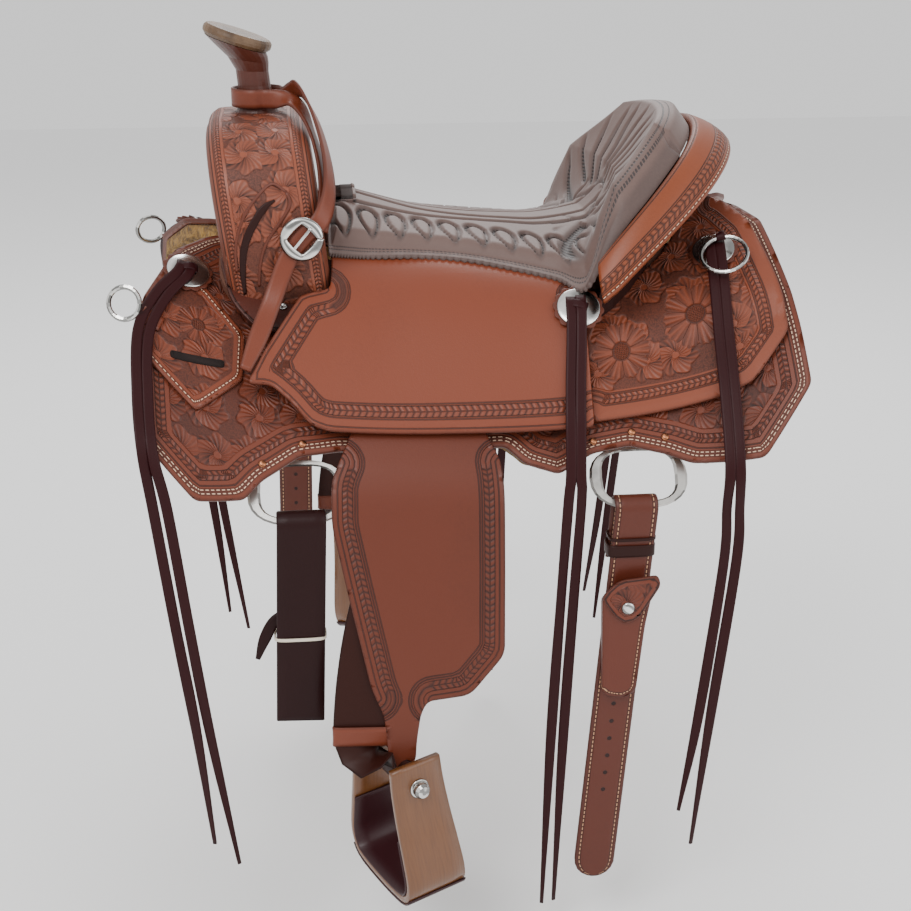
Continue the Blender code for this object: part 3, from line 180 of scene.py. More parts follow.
# %% [markdown]
# ## Materials
# A small expression class writes the shader maths. Leathers read three things from their mesh:
# the flat cut pattern as a UV, the distance from the cut edge, and the way along that edge.

# %% Shader expressions
class Ex:
    """A shader value that builds Math nodes when it is used in arithmetic."""

    def __init__(self, tree, value):
        self.tree, self.value = tree, value

    def op(self, kind, *rest):
        node = self.tree.nodes.new("ShaderNodeMath")
        node.operation = kind
        for i, a in enumerate((self,) + rest):
            a = a.value if isinstance(a, Ex) else a
            if isinstance(a, (int, float)):
                node.inputs[i].default_value = a
            else:
                self.tree.links.new(a, node.inputs[i])
        return Ex(self.tree, node.outputs[0])

    def __add__(self, b):
        return self.op("ADD", b)

    def __sub__(self, b):
        return self.op("SUBTRACT", b)

    def __mul__(self, b):
        return self.op("MULTIPLY", b)

    def __truediv__(self, b):
        return self.op("DIVIDE", b)

    def __pow__(self, b):
        return self.op("POWER", b)

    __radd__, __rmul__ = __add__, __mul__

    def __rsub__(self, b):
        return Ex(self.tree, b).op("SUBTRACT", self)

    def fn(self, name, *rest):
        return self.op(name, *rest)

    def clamped(self):
        return self.fn("MAXIMUM", 0.0).fn("MINIMUM", 1.0)

    def step(self, lo, hi):
        """0 below lo, 1 above hi, smooth between them."""
        node = self.tree.nodes.new("ShaderNodeMapRange")
        node.interpolation_type = "SMOOTHSTEP"
        self.tree.links.new(self.value, node.inputs["Value"])
        node.inputs["From Min"].default_value, node.inputs["From Max"].default_value = lo, hi
        return Ex(self.tree, node.outputs[0])

    def near(self, centre, half, soft=0.0004):
        """1 within half of centre, falling to 0."""
        return 1.0 - (self - centre).fn("ABSOLUTE").step(half, half + soft)


def new_material(name, rough, metal=0.0):
    mat = bpy.data.materials.new(name)
    mat.use_nodes = True
    shader = mat.node_tree.nodes["Principled BSDF"]
    shader.inputs["Roughness"].default_value = rough
    shader.inputs["Metallic"].default_value = metal
    return mat, mat.node_tree, shader


def coordinates(tree, kind="Object", scale=(1, 1, 1)):
    if kind == "flat":
        node = tree.nodes.new("ShaderNodeUVMap")
        node.uv_map = "flat"
        out = node.outputs[0]
    else:
        out = tree.nodes.new("ShaderNodeTexCoord").outputs["Object"]
    mapping = tree.nodes.new("ShaderNodeMapping")
    mapping.inputs["Scale"].default_value = scale
    tree.links.new(out, mapping.inputs[0])
    return mapping.outputs[0]


def split(tree, vector):
    """The three parts of a vector."""
    node = tree.nodes.new("ShaderNodeSeparateXYZ")
    tree.links.new(vector, node.inputs[0])
    return [Ex(tree, out) for out in node.outputs]


def cells(tree, vector, scale):
    """Voronoi cells, for pores, stippling and scrolls."""
    node = tree.nodes.new("ShaderNodeTexVoronoi")
    node.inputs["Scale"].default_value = scale
    tree.links.new(vector, node.inputs["Vector"])
    return node


def noise(tree, vector, scale, detail=3.0, rough=0.55):
    node = tree.nodes.new("ShaderNodeTexNoise")
    node.inputs["Scale"].default_value = scale
    node.inputs["Detail"].default_value = detail
    node.inputs["Roughness"].default_value = rough
    tree.links.new(vector, node.inputs["Vector"])
    return Ex(tree, node.outputs[0])


def attribute(tree, name):
    node = tree.nodes.new("ShaderNodeAttribute")
    node.attribute_name = name
    return Ex(tree, node.outputs["Fac"])


def mix(tree, factor, a, b):
    node = tree.nodes.new("ShaderNodeMix")
    node.data_type = "RGBA"
    node.clamp_factor = True
    if isinstance(factor, (int, float)):
        node.inputs[0].default_value = factor
    else:
        tree.links.new(factor.value, node.inputs[0])
    for socket, c in ((node.inputs[6], a), (node.inputs[7], b)):
        if isinstance(c, tuple):
            socket.default_value = (*c, 1.0)
        else:
            tree.links.new(c, socket)
    return node.outputs[2]


def bump(tree, shader, height, strength=1.0):
    node = tree.nodes.new("ShaderNodeBump")
    node.inputs["Strength"].default_value = strength
    node.inputs["Distance"].default_value = 1.0
    tree.links.new(height.value, node.inputs["Height"])
    tree.links.new(node.outputs[0], shader.inputs["Normal"])


# %% Leather
THREAD, BROWN_THREAD = (0.66, 0.43, 0.30), (0.50, 0.27, 0.15)
SCROLLS = 24.0          # carved scrolls to a metre


def petal_flower(u, v, cx, cy, radius, petals, turn=0.0):
    """A carved sunflower: (height, where it is)."""
    dx, dy = u - cx, v - cy
    r = (dx * dx + dy * dy).fn("SQRT") / radius
    angle = dy.fn("ARCTAN2", dx) + turn
    lobe = (angle * (petals / 2)).fn("COSINE").fn("ABSOLUTE")
    ruffle = (angle * (petals * 3)).fn("COSINE") * 0.025
    inside = 1.0 - (r - (lobe ** 0.4) * 0.22 - ruffle).step(0.74, 0.80)
    disc = 1.0 - r.step(0.24, 0.28)
    hatch = (dx * 1700 + dy * 1700).fn("SINE") * (dx * 1700 - dy * 1700).fn("SINE") * 0.45 + 0.55
    vein = ((angle * (petals * 3)).fn("COSINE") * 0.5 + 0.5) * (r - 0.35).fn("MAXIMUM", 0.0) * 0.9
    petal = (lobe ** 0.35 * 0.9 - vein).fn("MAXIMUM", 0.0) * r.step(0.26, 0.36)
    height = disc * hatch + (1.0 - disc) * petal
    return height, inside


def leather(name, light, dark, rough=0.42, stitch=(), lines=(), braid=(), carve=None, flowers=(),
            holes=None, thread=THREAD, coat=0.12, worn=0.5, edge_dark=True, shine=0.35):
    """Leather with a tooled pattern; sizes in metres on the flat cut pattern.

    stitch: (distance from edge, pitch); lines: distances; braid: (from, to); carve: the
    distance inside which scrolls are carved; flowers: (x, s, radius); holes: (s0, s1, pitch)."""
    mat, tree, shader = new_material(name, rough)
    obj = coordinates(tree)
    cloud = noise(tree, obj, 7.0, 4.0)
    fine = noise(tree, obj, 260.0, 3.0, 0.7)
    height = Ex(tree, cells(tree, obj, 620.0).outputs["Distance"]) * 0.00006 + fine * 0.00010
    # Darkening of tooled grooves, braid, edges and stitch lines is antique stain; the punched holes add
    # painted shade.
    stain_and_hole_shade = cloud * 0.0
    thread_on = None
    if stitch or lines or braid or carve is not None or edge_dark:
        edge, along = attribute(tree, "edge"), attribute(tree, "along")
    if edge_dark:
        stain_and_hole_shade = stain_and_hole_shade + (1.0 - edge.step(0.0, 0.0035)) * 0.45
    for e0 in lines:
        g = edge.near(e0, 0.0004, 0.0007)
        height, stain_and_hole_shade = height - g * 0.0007, stain_and_hole_shade + g * 0.75
    for e0, e1 in braid:
        width = e1 - e0
        v = (edge - e0) / width
        inside = v.step(0.0, 0.05) * (1.0 - v.step(0.95, 1.0))
        bend = (v - 0.5).fn("ABSOLUTE") * 0.9
        wave = ((along / (width * 0.62) + bend).fn("FRACT") - 0.5).fn("ABSOLUTE") * 2.0
        spine = v.near(0.5, 0.02, 0.06)
        rope = (1.0 - wave ** 1.6) * (1.0 - spine * 0.8)
        rim = v.near(0.03, 0.03, 0.03) + v.near(0.97, 0.03, 0.03)
        height = height + inside * rope * 0.0011 - rim * 0.0006
        stain_and_hole_shade = stain_and_hole_shade + inside * (0.85 - rope * 0.95) + rim * 0.5
    if carve is not None:
        flat = coordinates(tree, "flat")
        warp = noise(tree, flat, 26.0, 2.0)
        u, v, _ = split(tree, flat)
        here = edge.step(carve, carve + 0.0015)
        cell = cells(tree, flat, SCROLLS)
        cell.voronoi_dimensions = "2D"
        cell.inputs["Randomness"].default_value = 0.75
        cu, cv, _ = split(tree, cell.outputs["Position"])
        dx, dy = u - cu, v - cv
        r = (dx * dx + dy * dy).fn("SQRT") * SCROLLS
        angle = dy.fn("ARCTAN2", dx)
        swirl = (angle * (3.0 / (2 * math.pi)) + r * 1.5 + warp * 0.9).fn("FRACT")
        lobe = (angle * 7.0 + r * 6.0).fn("SINE") * 0.05
        body = 1.0 - (r + warp * 0.12 + lobe).step(0.56, 0.64)
        fan = (angle * 21.0 + r * 14.0).fn("SINE") * 0.16
        eye = 1.0 - r.step(0.07, 0.12)
        relief = body * ((swirl ** 0.55) * 0.85 + fan).fn("MAXIMUM", 0.0) * (1.0 - eye) + eye
        dots = Ex(tree, cells(tree, flat, 700.0).outputs["Distance"])
        ground = (1.0 - body) * (0.5 + dots * 0.5)
        low = ground * 0.85 + body * ((1.0 - relief).fn("MAXIMUM", 0.0) ** 1.6) * 0.95
        for cx, cy, radius in flowers:
            h, on = petal_flower(u, v, cx, cy, radius, 10)
            relief = relief * (1.0 - on) + on * h
            low = low * (1.0 - on) + on * (1.0 - h).fn("MAXIMUM", 0.0) * 0.85
        height = height + here * relief * 0.0019
        stain_and_hole_shade = stain_and_hole_shade + here * low
    if holes:
        u, v, _ = split(tree, coordinates(tree, "flat"))
        s0, s1, pitch = holes
        row = (u - s0).step(0.0, 0.001) * (1.0 - (u - s1).step(0.0, 0.001))
        du = ((u - s0) / pitch).fn("FRACT") * pitch - pitch / 2
        # Punched holes are not cut: each is a dark dot with a dip, painted shade for the hole.
        spot = (1.0 - (du * du + v * v).fn("SQRT").step(0.0019, 0.0026)) * row
        height, stain_and_hole_shade = height - spot * 0.002, stain_and_hole_shade + spot * 1.6
    for e0, pitch in stitch:
        line = edge.near(e0, 0.00045, 0.0003)
        dash = (along / pitch).fn("FRACT")
        on = dash.step(0.12, 0.20) * (1.0 - dash.step(0.76, 0.84)) * line
        groove = edge.near(e0, 0.0012, 0.0008)
        height, stain_and_hole_shade = height - groove * 0.0005 + on * 0.0010, stain_and_hole_shade + groove * 0.5
        thread_on = on if thread_on is None else thread_on.fn("MAXIMUM", on)
    tone = (cloud - 0.5) * worn + (fine - 0.5) * 0.25 + stain_and_hole_shade
    colour = mix(tree, tone.clamped(), light, dark)
    if thread_on is not None:
        colour = mix(tree, thread_on, colour, thread)
    tree.links.new(colour, shader.inputs["Base Color"])
    rough_out = cloud * 0.12 + stain_and_hole_shade.fn("MINIMUM", 1.0) * 0.25 + (rough - 0.06)
    tree.links.new(rough_out.value, shader.inputs["Roughness"])
    shader.inputs["Coat Weight"].default_value = coat * 0.7
    shader.inputs["Coat Roughness"].default_value = 0.35
    shader.inputs["Specular IOR Level"].default_value = shine
    bump(tree, shader, height)
    return mat


LIGHT, DEEP = (0.180, 0.0370, 0.0140), (0.018, 0.0040, 0.0024)
SKIRT = leather("skirt_tooled", (0.135, 0.0270, 0.0105), DEEP, lines=(0.0140,),
                stitch=((0.0065, 0.0055), (0.0100, 0.0055)), braid=((0.0190, 0.0290),), carve=0.0330)
JOCKEY = leather("jockey", LIGHT, DEEP, lines=(0.004, 0.0125, 0.0265), braid=((0.0140, 0.0250),),
                 worn=0.4)
REAR = leather("rear_jockey", (0.20, 0.045, 0.0185), DEEP, lines=(0.0150, 0.0275),
               braid=((0.0165, 0.0262),), carve=0.0295,
               flowers=((0.158, 0.196, 0.031), (0.240, 0.172, 0.035)))
KEEPER = leather("keeper", (0.175, 0.037, 0.0145), DEEP, stitch=((0.0055, 0.0050),), carve=0.0100,
                 flowers=((-0.284, 0.175, 0.022),))
SWELL = leather("swell", (0.225, 0.057, 0.0270), DEEP, lines=(0.0020, 0.0065),
                braid=((0.0080, 0.0150),), carve=0.0175)
FENDER = leather("fender", (0.110, 0.0205, 0.0075), DEEP, lines=(0.0060, 0.0235, 0.0260),
                 braid=((0.0105, 0.0215),), worn=0.55)
FLANGE = leather("flange", (0.075, 0.016, 0.009), (0.012, 0.004, 0.003), lines=(0.003,))
ROLL = leather("roll", (0.205, 0.0440, 0.0120), (0.022, 0.005, 0.002), stitch=((0.0475, 0.0055),),
               lines=(0.0035, 0.0270, 0.0430), braid=((0.0290, 0.0412),), worn=0.45)
BILLET = leather("billet", (0.085, 0.0150, 0.0060), DEEP, stitch=((0.0048, 0.0052),),
                 holes=(0.245, 0.440, 0.0212), thread=BROWN_THREAD)
STRAP = leather("strap", (0.150, 0.0300, 0.0115), DEEP)
SHEATH = leather("sheath", (0.100, 0.0180, 0.0070), DEEP, stitch=((0.0045, 0.0045),), thread=BROWN_THREAD)
FLAP = leather("flap", (0.130, 0.0250, 0.0098), DEEP, lines=(0.0022,), carve=0.0060)
LATIGO = leather("latigo", (0.016, 0.0030, 0.0030), (0.004, 0.0015, 0.0015), rough=0.42, coat=0.03,
                 shine=0.16, edge_dark=False)
LACE = leather("lace", (0.024, 0.0030, 0.0038), (0.005, 0.0014, 0.0017), rough=0.45, coat=0.02,
               shine=0.16, edge_dark=False)
DARK = leather("dark_brown", (0.022, 0.006, 0.0045), (0.006, 0.0025, 0.002), rough=0.44, coat=0.03,
               shine=0.16, edge_dark=False)
INNER = leather("stirrup_leather", (0.026, 0.0060, 0.0038), (0.007, 0.002, 0.0015), rough=0.44,
                coat=0.03, shine=0.16)
HORN = leather("horn_neck", (0.070, 0.0150, 0.0075), (0.014, 0.004, 0.003), rough=0.38, coat=0.2,
               edge_dark=False)
SHADE = leather("shade", (0.010, 0.004, 0.003), (0.003, 0.002, 0.002), rough=0.8, coat=0.0)
LINING = leather("lining", (0.028, 0.0045, 0.0065), (0.008, 0.0025, 0.003), rough=0.42, edge_dark=False)
print("leathers made")


# %% Pad, fleece, wood, rawhide and metal
def pad_material():
    mat, tree, shader = new_material("pad", 0.55)
    obj = coordinates(tree)
    cloud, fine = noise(tree, obj, 9.0, 4.0), noise(tree, obj, 330.0, 3.0, 0.7)
    seam_depth_and_shade, edge, along = (attribute(tree, k) for k in ("seam_depth_and_shade", "edge", "along"))
    dash = (along / 0.0052).fn("FRACT")
    rows = edge.near(0.0060, 0.0007, 0.0004) + edge.near(0.0105, 0.0007, 0.0004)
    on = (dash.step(0.12, 0.2) * (1.0 - dash.step(0.74, 0.82)) * rows).fn("MINIMUM", 1.0)
    # The pad is darker along its quilting valleys by their depth: painted shade in the creases.
    tone = (cloud - 0.5) * 0.55 + (fine - 0.5) * 0.3 + seam_depth_and_shade * 0.85 + (1.0 - edge.step(0.0, 0.004)) * 0.4
    colour = mix(tree, tone.clamped(), (0.120, 0.070, 0.058), (0.020, 0.010, 0.009))
    x, y, z = split(tree, obj)
    spot = ((x * 0.85 + y * 0.5 + z * 0.6) / 0.0046).fn("FRACT").near(0.5, 0.20, 0.10)
    spot = spot * seam_depth_and_shade.step(0.60, 0.80)
    colour = mix(tree, spot, colour, (0.012, 0.007, 0.007))
    tree.links.new(mix(tree, on, colour, (0.030, 0.018, 0.017)), shader.inputs["Base Color"])
    bump(tree, shader, fine * 0.00022 - seam_depth_and_shade * 0.0008 - on * 0.0008 - spot * 0.0010)
    shader.inputs["Sheen Weight"].default_value = 0.15
    return mat


def fleece_material():
    mat, tree, shader = new_material("fleece", 0.95)
    obj = coordinates(tree)
    curl, fine = noise(tree, obj, 120.0, 5.0, 0.75), noise(tree, obj, 600.0, 2.0)
    tree.links.new(mix(tree, curl.step(0.35, 0.65), (0.11, 0.050, 0.010), (0.46, 0.25, 0.055)),
                   shader.inputs["Base Color"])
    bump(tree, shader, curl * 0.010 + fine * 0.001)
    shader.inputs["Sheen Weight"].default_value = 0.1
    return mat


def wood_material():
    mat, tree, shader = new_material("oak", 0.35)
    flat = coordinates(tree, "flat", (6.0, 90.0, 1.0))
    grain, broad = noise(tree, flat, 5.0, 6.0, 0.65), noise(tree, flat, 1.4, 3.0)
    tone = (grain.step(0.35, 0.80) * 0.55 + broad * 0.4)
    tree.links.new(mix(tree, tone, (0.160, 0.056, 0.0120), (0.080, 0.025, 0.005)),
                   shader.inputs["Base Color"])
    bump(tree, shader, grain * 0.0004)
    shader.inputs["Coat Weight"].default_value = 0.5
    shader.inputs["Coat Roughness"].default_value = 0.2
    return mat


def rawhide_material():
    mat, tree, shader = new_material("rawhide", 0.45)
    obj = coordinates(tree)
    cloud, fine = noise(tree, obj, 28.0, 5.0), noise(tree, obj, 400.0, 3.0)
    tree.links.new(mix(tree, cloud.step(0.35, 0.7), (0.150, 0.085, 0.042), (0.050, 0.025, 0.012)),
                   shader.inputs["Base Color"])
    bump(tree, shader, fine * 0.0002 + cloud * 0.0015)
    return mat


def metal_material(name, colour, rough, wear=0.1):
    """Polished metal; dark bands mixed into its colour by the reflection direction are a painted
    reflection of a room around it.
    """
    mat, tree, shader = new_material(name, rough, 1.0)
    obj = coordinates(tree)
    cloud, fine = noise(tree, obj, 40.0, 4.0), noise(tree, obj, 900.0, 2.0)
    dull = tuple(c * 0.5 for c in colour)
    rx, _, rz = split(tree, tree.nodes.new("ShaderNodeTexCoord").outputs["Reflection"])
    # Painted reflection: dark bands of the room, painted into the base colour along the reflection
    # direction.
    painted_reflection_band = ((rx * 4.0 + rz * 5.5 + cloud * 1.2).fn("SINE") * 0.5 + 0.5).step(0.25, 0.75)
    plain = mix(tree, cloud.step(0.45, 0.75) * 0.6, colour, dull)
    dark = tuple(c * 0.16 for c in colour)
    tree.links.new(mix(tree, painted_reflection_band * 0.8, plain, dark), shader.inputs["Base Color"])
    tree.links.new((cloud * wear + rough).value, shader.inputs["Roughness"])
    bump(tree, shader, fine * 0.00003)
    return mat


PAD, FLEECE, OAK, RAWHIDE = pad_material(), fleece_material(), wood_material(), rawhide_material()
SILVER = metal_material("silver", (0.80, 0.79, 0.76), 0.16)
NICKEL = metal_material("nickel", (0.62, 0.60, 0.57), 0.26, 0.2)
COPPER = metal_material("copper", (0.50, 0.20, 0.10), 0.35)
WOOD_TREE = new_material("tree_wood", 0.7)[0]
WOOD_TREE.node_tree.nodes["Principled BSDF"].inputs["Base Color"].default_value = (0.13, 0.05, 0.03, 1)
print("materials", len(bpy.data.materials))

# %% [markdown]
# ## Builders

# %% Builders
def put(bm, name, mat, body, slot, *nodes):
    """Make the piece, let it ride on a body, and hide the CAD nodes it stands for."""
    mesh = bpy.data.meshes.new(name)
    bm.to_mesh(mesh)
    bm.free()
    mesh.polygons.foreach_set("use_smooth", [True] * len(mesh.polygons))
    ob = bpy.data.objects.new(name, mesh)
    ob.data.materials.append(mat)
    bpy.context.collection.objects.link(ob)
    if body:
        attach(ob, body)
    if nodes:
        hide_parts(*nodes)
    return ob


def rounded(points, radius, steps=4):
    out, count = [], len(points)
    for i, p in enumerate(points):
        p, a, b = Vector(p), Vector(points[i - 1]), Vector(points[(i + 1) % count])
        r = min(radius, 0.45 * (a - p).length, 0.45 * (b - p).length)
        p0, p1 = p + (a - p).normalized() * r, p + (b - p).normalized() * r
        for k in range(steps + 1):
            t = k / steps
            out.append(tuple(p0 * (1 - t) ** 2 + p * 2 * t * (1 - t) + p1 * t ** 2))
    return out


def near_edge(points, outline, keep):
    """Distance of every point from the outline, and the way along it to the nearest spot."""
    a = np.array(outline)
    b = np.roll(a, -1, axis=0)
    run = np.concatenate(([0.0], np.cumsum(np.linalg.norm(b - a, axis=1))[:-1]))
    ok = np.array([keep((p + q) / 2) if keep else True for p, q in zip(a, b)])
    a, b, run = a[ok], b[ok], run[ok]
    d = b - a
    length = np.maximum(np.linalg.norm(d, axis=1), 1e-9)
    rel = points[:, None, :] - a[None]
    t = np.clip((rel * d[None]).sum(2) / length ** 2, 0, 1)
    gap = np.linalg.norm(rel - t[..., None] * d[None], axis=2)
    best = gap.argmin(1)
    rows = np.arange(len(points))
    return gap[rows, best], run[best] + t[rows, best] * length[best]


def panel(name, outline, lay, thick, mat, body, slot, nodes=(), step=0.007, keep=None, radius=0.006):
    """A cut leather: outline in (x, s); lay(x, s, h) gives the place at height h above its top."""
    pts = rounded(outline, radius)
    bm = bmesh.new()
    face = bm.faces.new([bm.verts.new((x, s, 0.0)) for x, s in pts])
    bmesh.ops.triangulate(bm, faces=[face])
    for axis, no in ((0, Vector((1, 0, 0))), (1, Vector((0, 1, 0)))):
        low, high = min(p[axis] for p in pts), max(p[axis] for p in pts)
        for k in range(1, int((high - low) / step)):
            bmesh.ops.bisect_plane(bm, geom=bm.verts[:] + bm.edges[:] + bm.faces[:], dist=1e-6,
                                   plane_co=no * (low + k * step), plane_no=no)
    grown = bmesh.ops.extrude_face_region(bm, geom=bm.faces[:], use_keep_orig=True)["geom"]
    up = [v for v in grown if isinstance(v, bmesh.types.BMVert)]
    bmesh.ops.translate(bm, verts=up, vec=(0, 0, 1))
    bmesh.ops.inset_region(bm, faces=[f for f in bm.faces if all(v.co.z > 0.5 for v in f.verts)],
                           thickness=0.0012)
    flat = np.array([v.co[:2] for v in bm.verts])
    gap, _ = near_edge(flat, pts, None)
    edge, along = near_edge(flat, pts, keep)
    uv = bm.loops.layers.uv.new("flat")
    for f in bm.faces:
        for loop in f.loops:
            loop[uv].uv = loop.vert.co.xy
    e_layer, a_layer = bm.verts.layers.float.new("edge"), bm.verts.layers.float.new("along")
    for i, v in enumerate(bm.verts):
        x, s = flat[i]
        h = -thick if v.co.z < 0.5 else (-0.0010 if gap[i] < 0.0006 else 0.0)
        v[e_layer], v[a_layer] = edge[i], along[i]
        v.co = lay(x, s, h)
    bmesh.ops.recalc_face_normals(bm, faces=bm.faces[:])
    return put(bm, name, mat, body, slot, *nodes)


def run_along(points):
    """Distance along a path, from 0 at its first point."""
    return np.concatenate(([0.0], np.cumsum(np.linalg.norm(np.diff(points, axis=0), axis=1))))


def tangents(points):
    t = np.gradient(points, axis=0)
    return t / np.linalg.norm(t, axis=1)[:, None]


def catmull(a, b, c, d, t):
    """Smooth step from b to c, with a before them and d after."""
    return 0.5 * (2 * b + (c - a) * t + (2 * a - 5 * b + 4 * c - d) * t ** 2
                  + (3 * b - a - 3 * c + d) * t ** 3)


def tube(bm, rings):
    """Faces between equal rings of corners, and a cap at each end."""
    for p, q in zip(rings, rings[1:]):
        for k in range(len(p)):
            m = (k + 1) % len(p)
            bm.faces.new([p[k], p[m], q[m], q[k]])
    bm.faces.new(rings[0][::-1])
    bm.faces.new(rings[-1])


def write_flat(bm, uv, flat):
    for f in bm.faces:
        for loop in f.loops:
            loop[uv].uv = flat[loop.vert]


def smooth_path(points, step):
    """Catmull-Rom through points, sampled about every step."""
    p = [np.array(q, float) for q in points]
    p = [2 * p[0] - p[1]] + p + [2 * p[-1] - p[-2]]
    out = []
    for i in range(1, len(p) - 2):
        a, b, c, d = p[i - 1:i + 3]
        count = max(1, int(round(np.linalg.norm(c[:3] - b[:3]) / step)))
        for k in range(count):
            out.append(catmull(a, b, c, d, k / count))
    out.append(p[-2])
    return np.array(out)


def ribbon(name, points, normals, widths, thick, mat, body, slot, nodes=(), step=0.004, crown=0.0):
    """A strap along points that faces along normals; widths may change along it."""
    if not isinstance(widths, (list, tuple)):
        widths = [widths] * len(points)
    rows = smooth_path([[*p, *n, w] for p, n, w in zip(points, normals, widths)], step)
    place, face, width = rows[:, :3], rows[:, 3:6], rows[:, 6]
    run, tangent = run_along(place), tangents(place)
    across = np.cross(tangent, face)
    across /= np.linalg.norm(across, axis=1)[:, None]
    face = np.cross(across, tangent)
    low = [(-1, -0.3), (-0.94, -1), (-0.5, -1), (0, -1), (0.5, -1), (0.94, -1), (1, -0.3)]
    section = low + [(q, -h) for q, h in reversed(low)]
    bm = bmesh.new()
    e_layer, a_layer = bm.verts.layers.float.new("edge"), bm.verts.layers.float.new("along")
    uv = bm.loops.layers.uv.new("flat")
    rings, flat = [], {}
    for i in range(len(place)):
        ring = []
        for q, h in section:
            lift = h * thick / 2 + crown * (1 - q * q) * (1 if h > 0 else 0)
            v = bm.verts.new(place[i] + across[i] * q * width[i] / 2 + face[i] * lift)
            v[e_layer], v[a_layer] = (1 - abs(q)) * width[i] / 2, run[i]
            flat[v] = (run[i], q * width[i] / 2)
            ring.append(v)
        rings.append(ring)
    tube(bm, rings)
    write_flat(bm, uv, flat)
    bmesh.ops.recalc_face_normals(bm, faces=bm.faces[:])
    return put(bm, name, mat, body, slot, *nodes), place


def grid(name, rows, cols, spot, mat, body, slot, nodes=(), closed=False):
    """A surface on a grid; spot(i, j) gives (place, (u, v) flat, edge, along, seam)."""
    bm = bmesh.new()
    layers = [bm.verts.layers.float.new(k) for k in ("edge", "along", "seam_depth_and_shade")]
    uv = bm.loops.layers.uv.new("flat")
    flat, verts = {}, []
    for i in range(rows):
        line = []
        for j in range(cols):
            place, at, *values = spot(i, j)
            v = bm.verts.new(place)
            flat[v] = at
            for layer, value in zip(layers, values):
                v[layer] = value
            line.append(v)
        verts.append(line)
    for i in range(rows - 1):
        for j in range(cols if closed else cols - 1):
            k = (j + 1) % cols
            bm.faces.new([verts[i][j], verts[i + 1][j], verts[i + 1][k], verts[i][k]])
    if closed:
        bm.faces.new(verts[0][::-1])
        bm.faces.new(verts[-1])
    write_flat(bm, uv, flat)
    bmesh.ops.recalc_face_normals(bm, faces=bm.faces[:])
    return put(bm, name, mat, body, slot, *nodes)


def lathe(name, centre, normal, profile, mat, body, slot, nodes=(), count=48, lobes=0, depth=0.0):
    """A turned piece: profile of (height, radius); lobes scallop the radius by depth."""
    normal = Vector(normal).normalized()
    u = Vector((0.13, 0.2, 1)).cross(normal).normalized()
    v = normal.cross(u)
    bm = bmesh.new()
    rings = []
    for h, r in profile:
        ring = []
        for k in range(count):
            a = 2 * math.pi * k / count
            rr = r * (1 - depth * (1 - abs(math.cos(lobes * a / 2)))) if lobes else r
            way = u * math.cos(a) + v * math.sin(a)
            ring.append(bm.verts.new(Vector(centre) + normal * h + way * rr))
        rings.append(ring)
    tube(bm, rings)
    bmesh.ops.recalc_face_normals(bm, faces=bm.faces[:])
    return put(bm, name, mat, body, slot, *nodes)


def dome(name, centre, normal, radius, mat, body="saddle", slot="polished_steel"):
    prof = [(-0.0005, radius), (0.0004, radius), (0.0012, radius * 0.8), (0.0018, radius * 0.45)]
    return lathe(name, centre, normal, prof, mat, body, slot, count=16)


# %% [markdown]
# ## Laces
# Each concho holds one lace; both ends hang. They are the only free cords.

# %% Laces
LACE_WIDE, LACE_THICK, LACE_GAP = 0.011, 0.0022, 0.0052
ON_SEAT = 5             # the first points of a middle lace lie on the seat leather: (x, y, height)
# For each concho: (x, s, n) on the side, (x, z) where the lace hangs free, (x, z) of both tips.
LACES = {
    "front": ([(-0.2945, 0.108, 0.0375), (-0.2985, 0.122, 0.0370), (-0.3200, 0.158, 0.0330),
               (-0.3370, 0.212, 0.0330), (-0.3375, 0.280, 0.0320), (-0.3330, 0.335, 0.0330)],
              [(-0.3240, -0.190), (-0.3095, -0.322), (-0.2955, -0.440)],
              [(-0.2900, -0.578), (-0.2650, -0.605)]),
    "rear": ([(0.2715, 0.100, 0.0535), (0.2705, 0.114, 0.0530), (0.2680, 0.150, 0.0490),
              (0.2650, 0.205, 0.0400), (0.2620, 0.270, 0.0380), (0.2605, 0.340, 0.0300)],
             [(0.2600, -0.210), (0.2600, -0.274), (0.2430, -0.450)],
             [(0.2195, -0.570), (0.2355, -0.614)]),
    "middle": ([(0.1090, 0.173, 0.0100), (0.1080, 0.187, 0.0095), (0.1060, 0.206, 0.0045),
                (0.1020, 0.230, 0.0040), (0.0990, 0.252, 0.0040), (0.0970, 0.322, 0.0300)],
               [(0.0960, -0.200), (0.0905, -0.311), (0.0830, -0.480)],
               [(0.0700, -0.688), (0.0835, -0.685)]),
}


def seat_spot(x, y, h, side):
    """A place h above the seat leather at plan point x, y, and the normal there."""
    slope = (seat_height(x, y + 0.004) - seat_height(x, y - 0.004)) / 0.008
    n = Vector((0, -side * slope, 1)).normalized()
    return Vector((x, side * y, seat_height(x, y))) + n * h, n


for word, side in SIDES:
    for kind, (on_leather, free, tips) in LACES.items():
        for k, dx in enumerate((-1, 1)):
            gap = LACE_GAP * dx
            path, faces = [], []
            for i, (x, s, n) in enumerate(on_leather):
                if kind == "middle" and i < ON_SEAT:
                    p, normal = seat_spot(x + gap, s, n, side)
                else:
                    p, normal = side_point(x + gap, s, n, side), side_normal(x, s, side)
                path.append(p)
                faces.append(normal)
            hang_y = path[-1].y + side * 0.0035
            for i, (x, z) in enumerate(free):
                path.append(Vector((x + gap * 1.3, hang_y, z)))
                twist = 0.30 * math.sin(2.1 * i + k + (kind == "rear"))
                faces.append(Vector((twist, side, 0)).normalized())
            x, z = tips[k]
            path.append(Vector((x, hang_y, z)))
            faces.append(Vector((0.5 * dx, side, 0)).normalized())
            widths = [LACE_WIDE] * (len(path) - 1) + [0.004]
            ob, line = ribbon(f"lace_{kind}_{word}_{'ab'[k]}", path, faces, widths, LACE_THICK, LACE,
                              "saddle", "dark_leather", (f"strings_{kind}_{word}",), step=0.008)
            length = float(np.linalg.norm(np.diff(line, axis=0), axis=1).sum())
            tuple(line[0])
            [tuple(q) for q in line]
            print("lace", kind, word, round(length, 3))

# %% [markdown]
# ## Skirts, fleece, jockeys and keepers

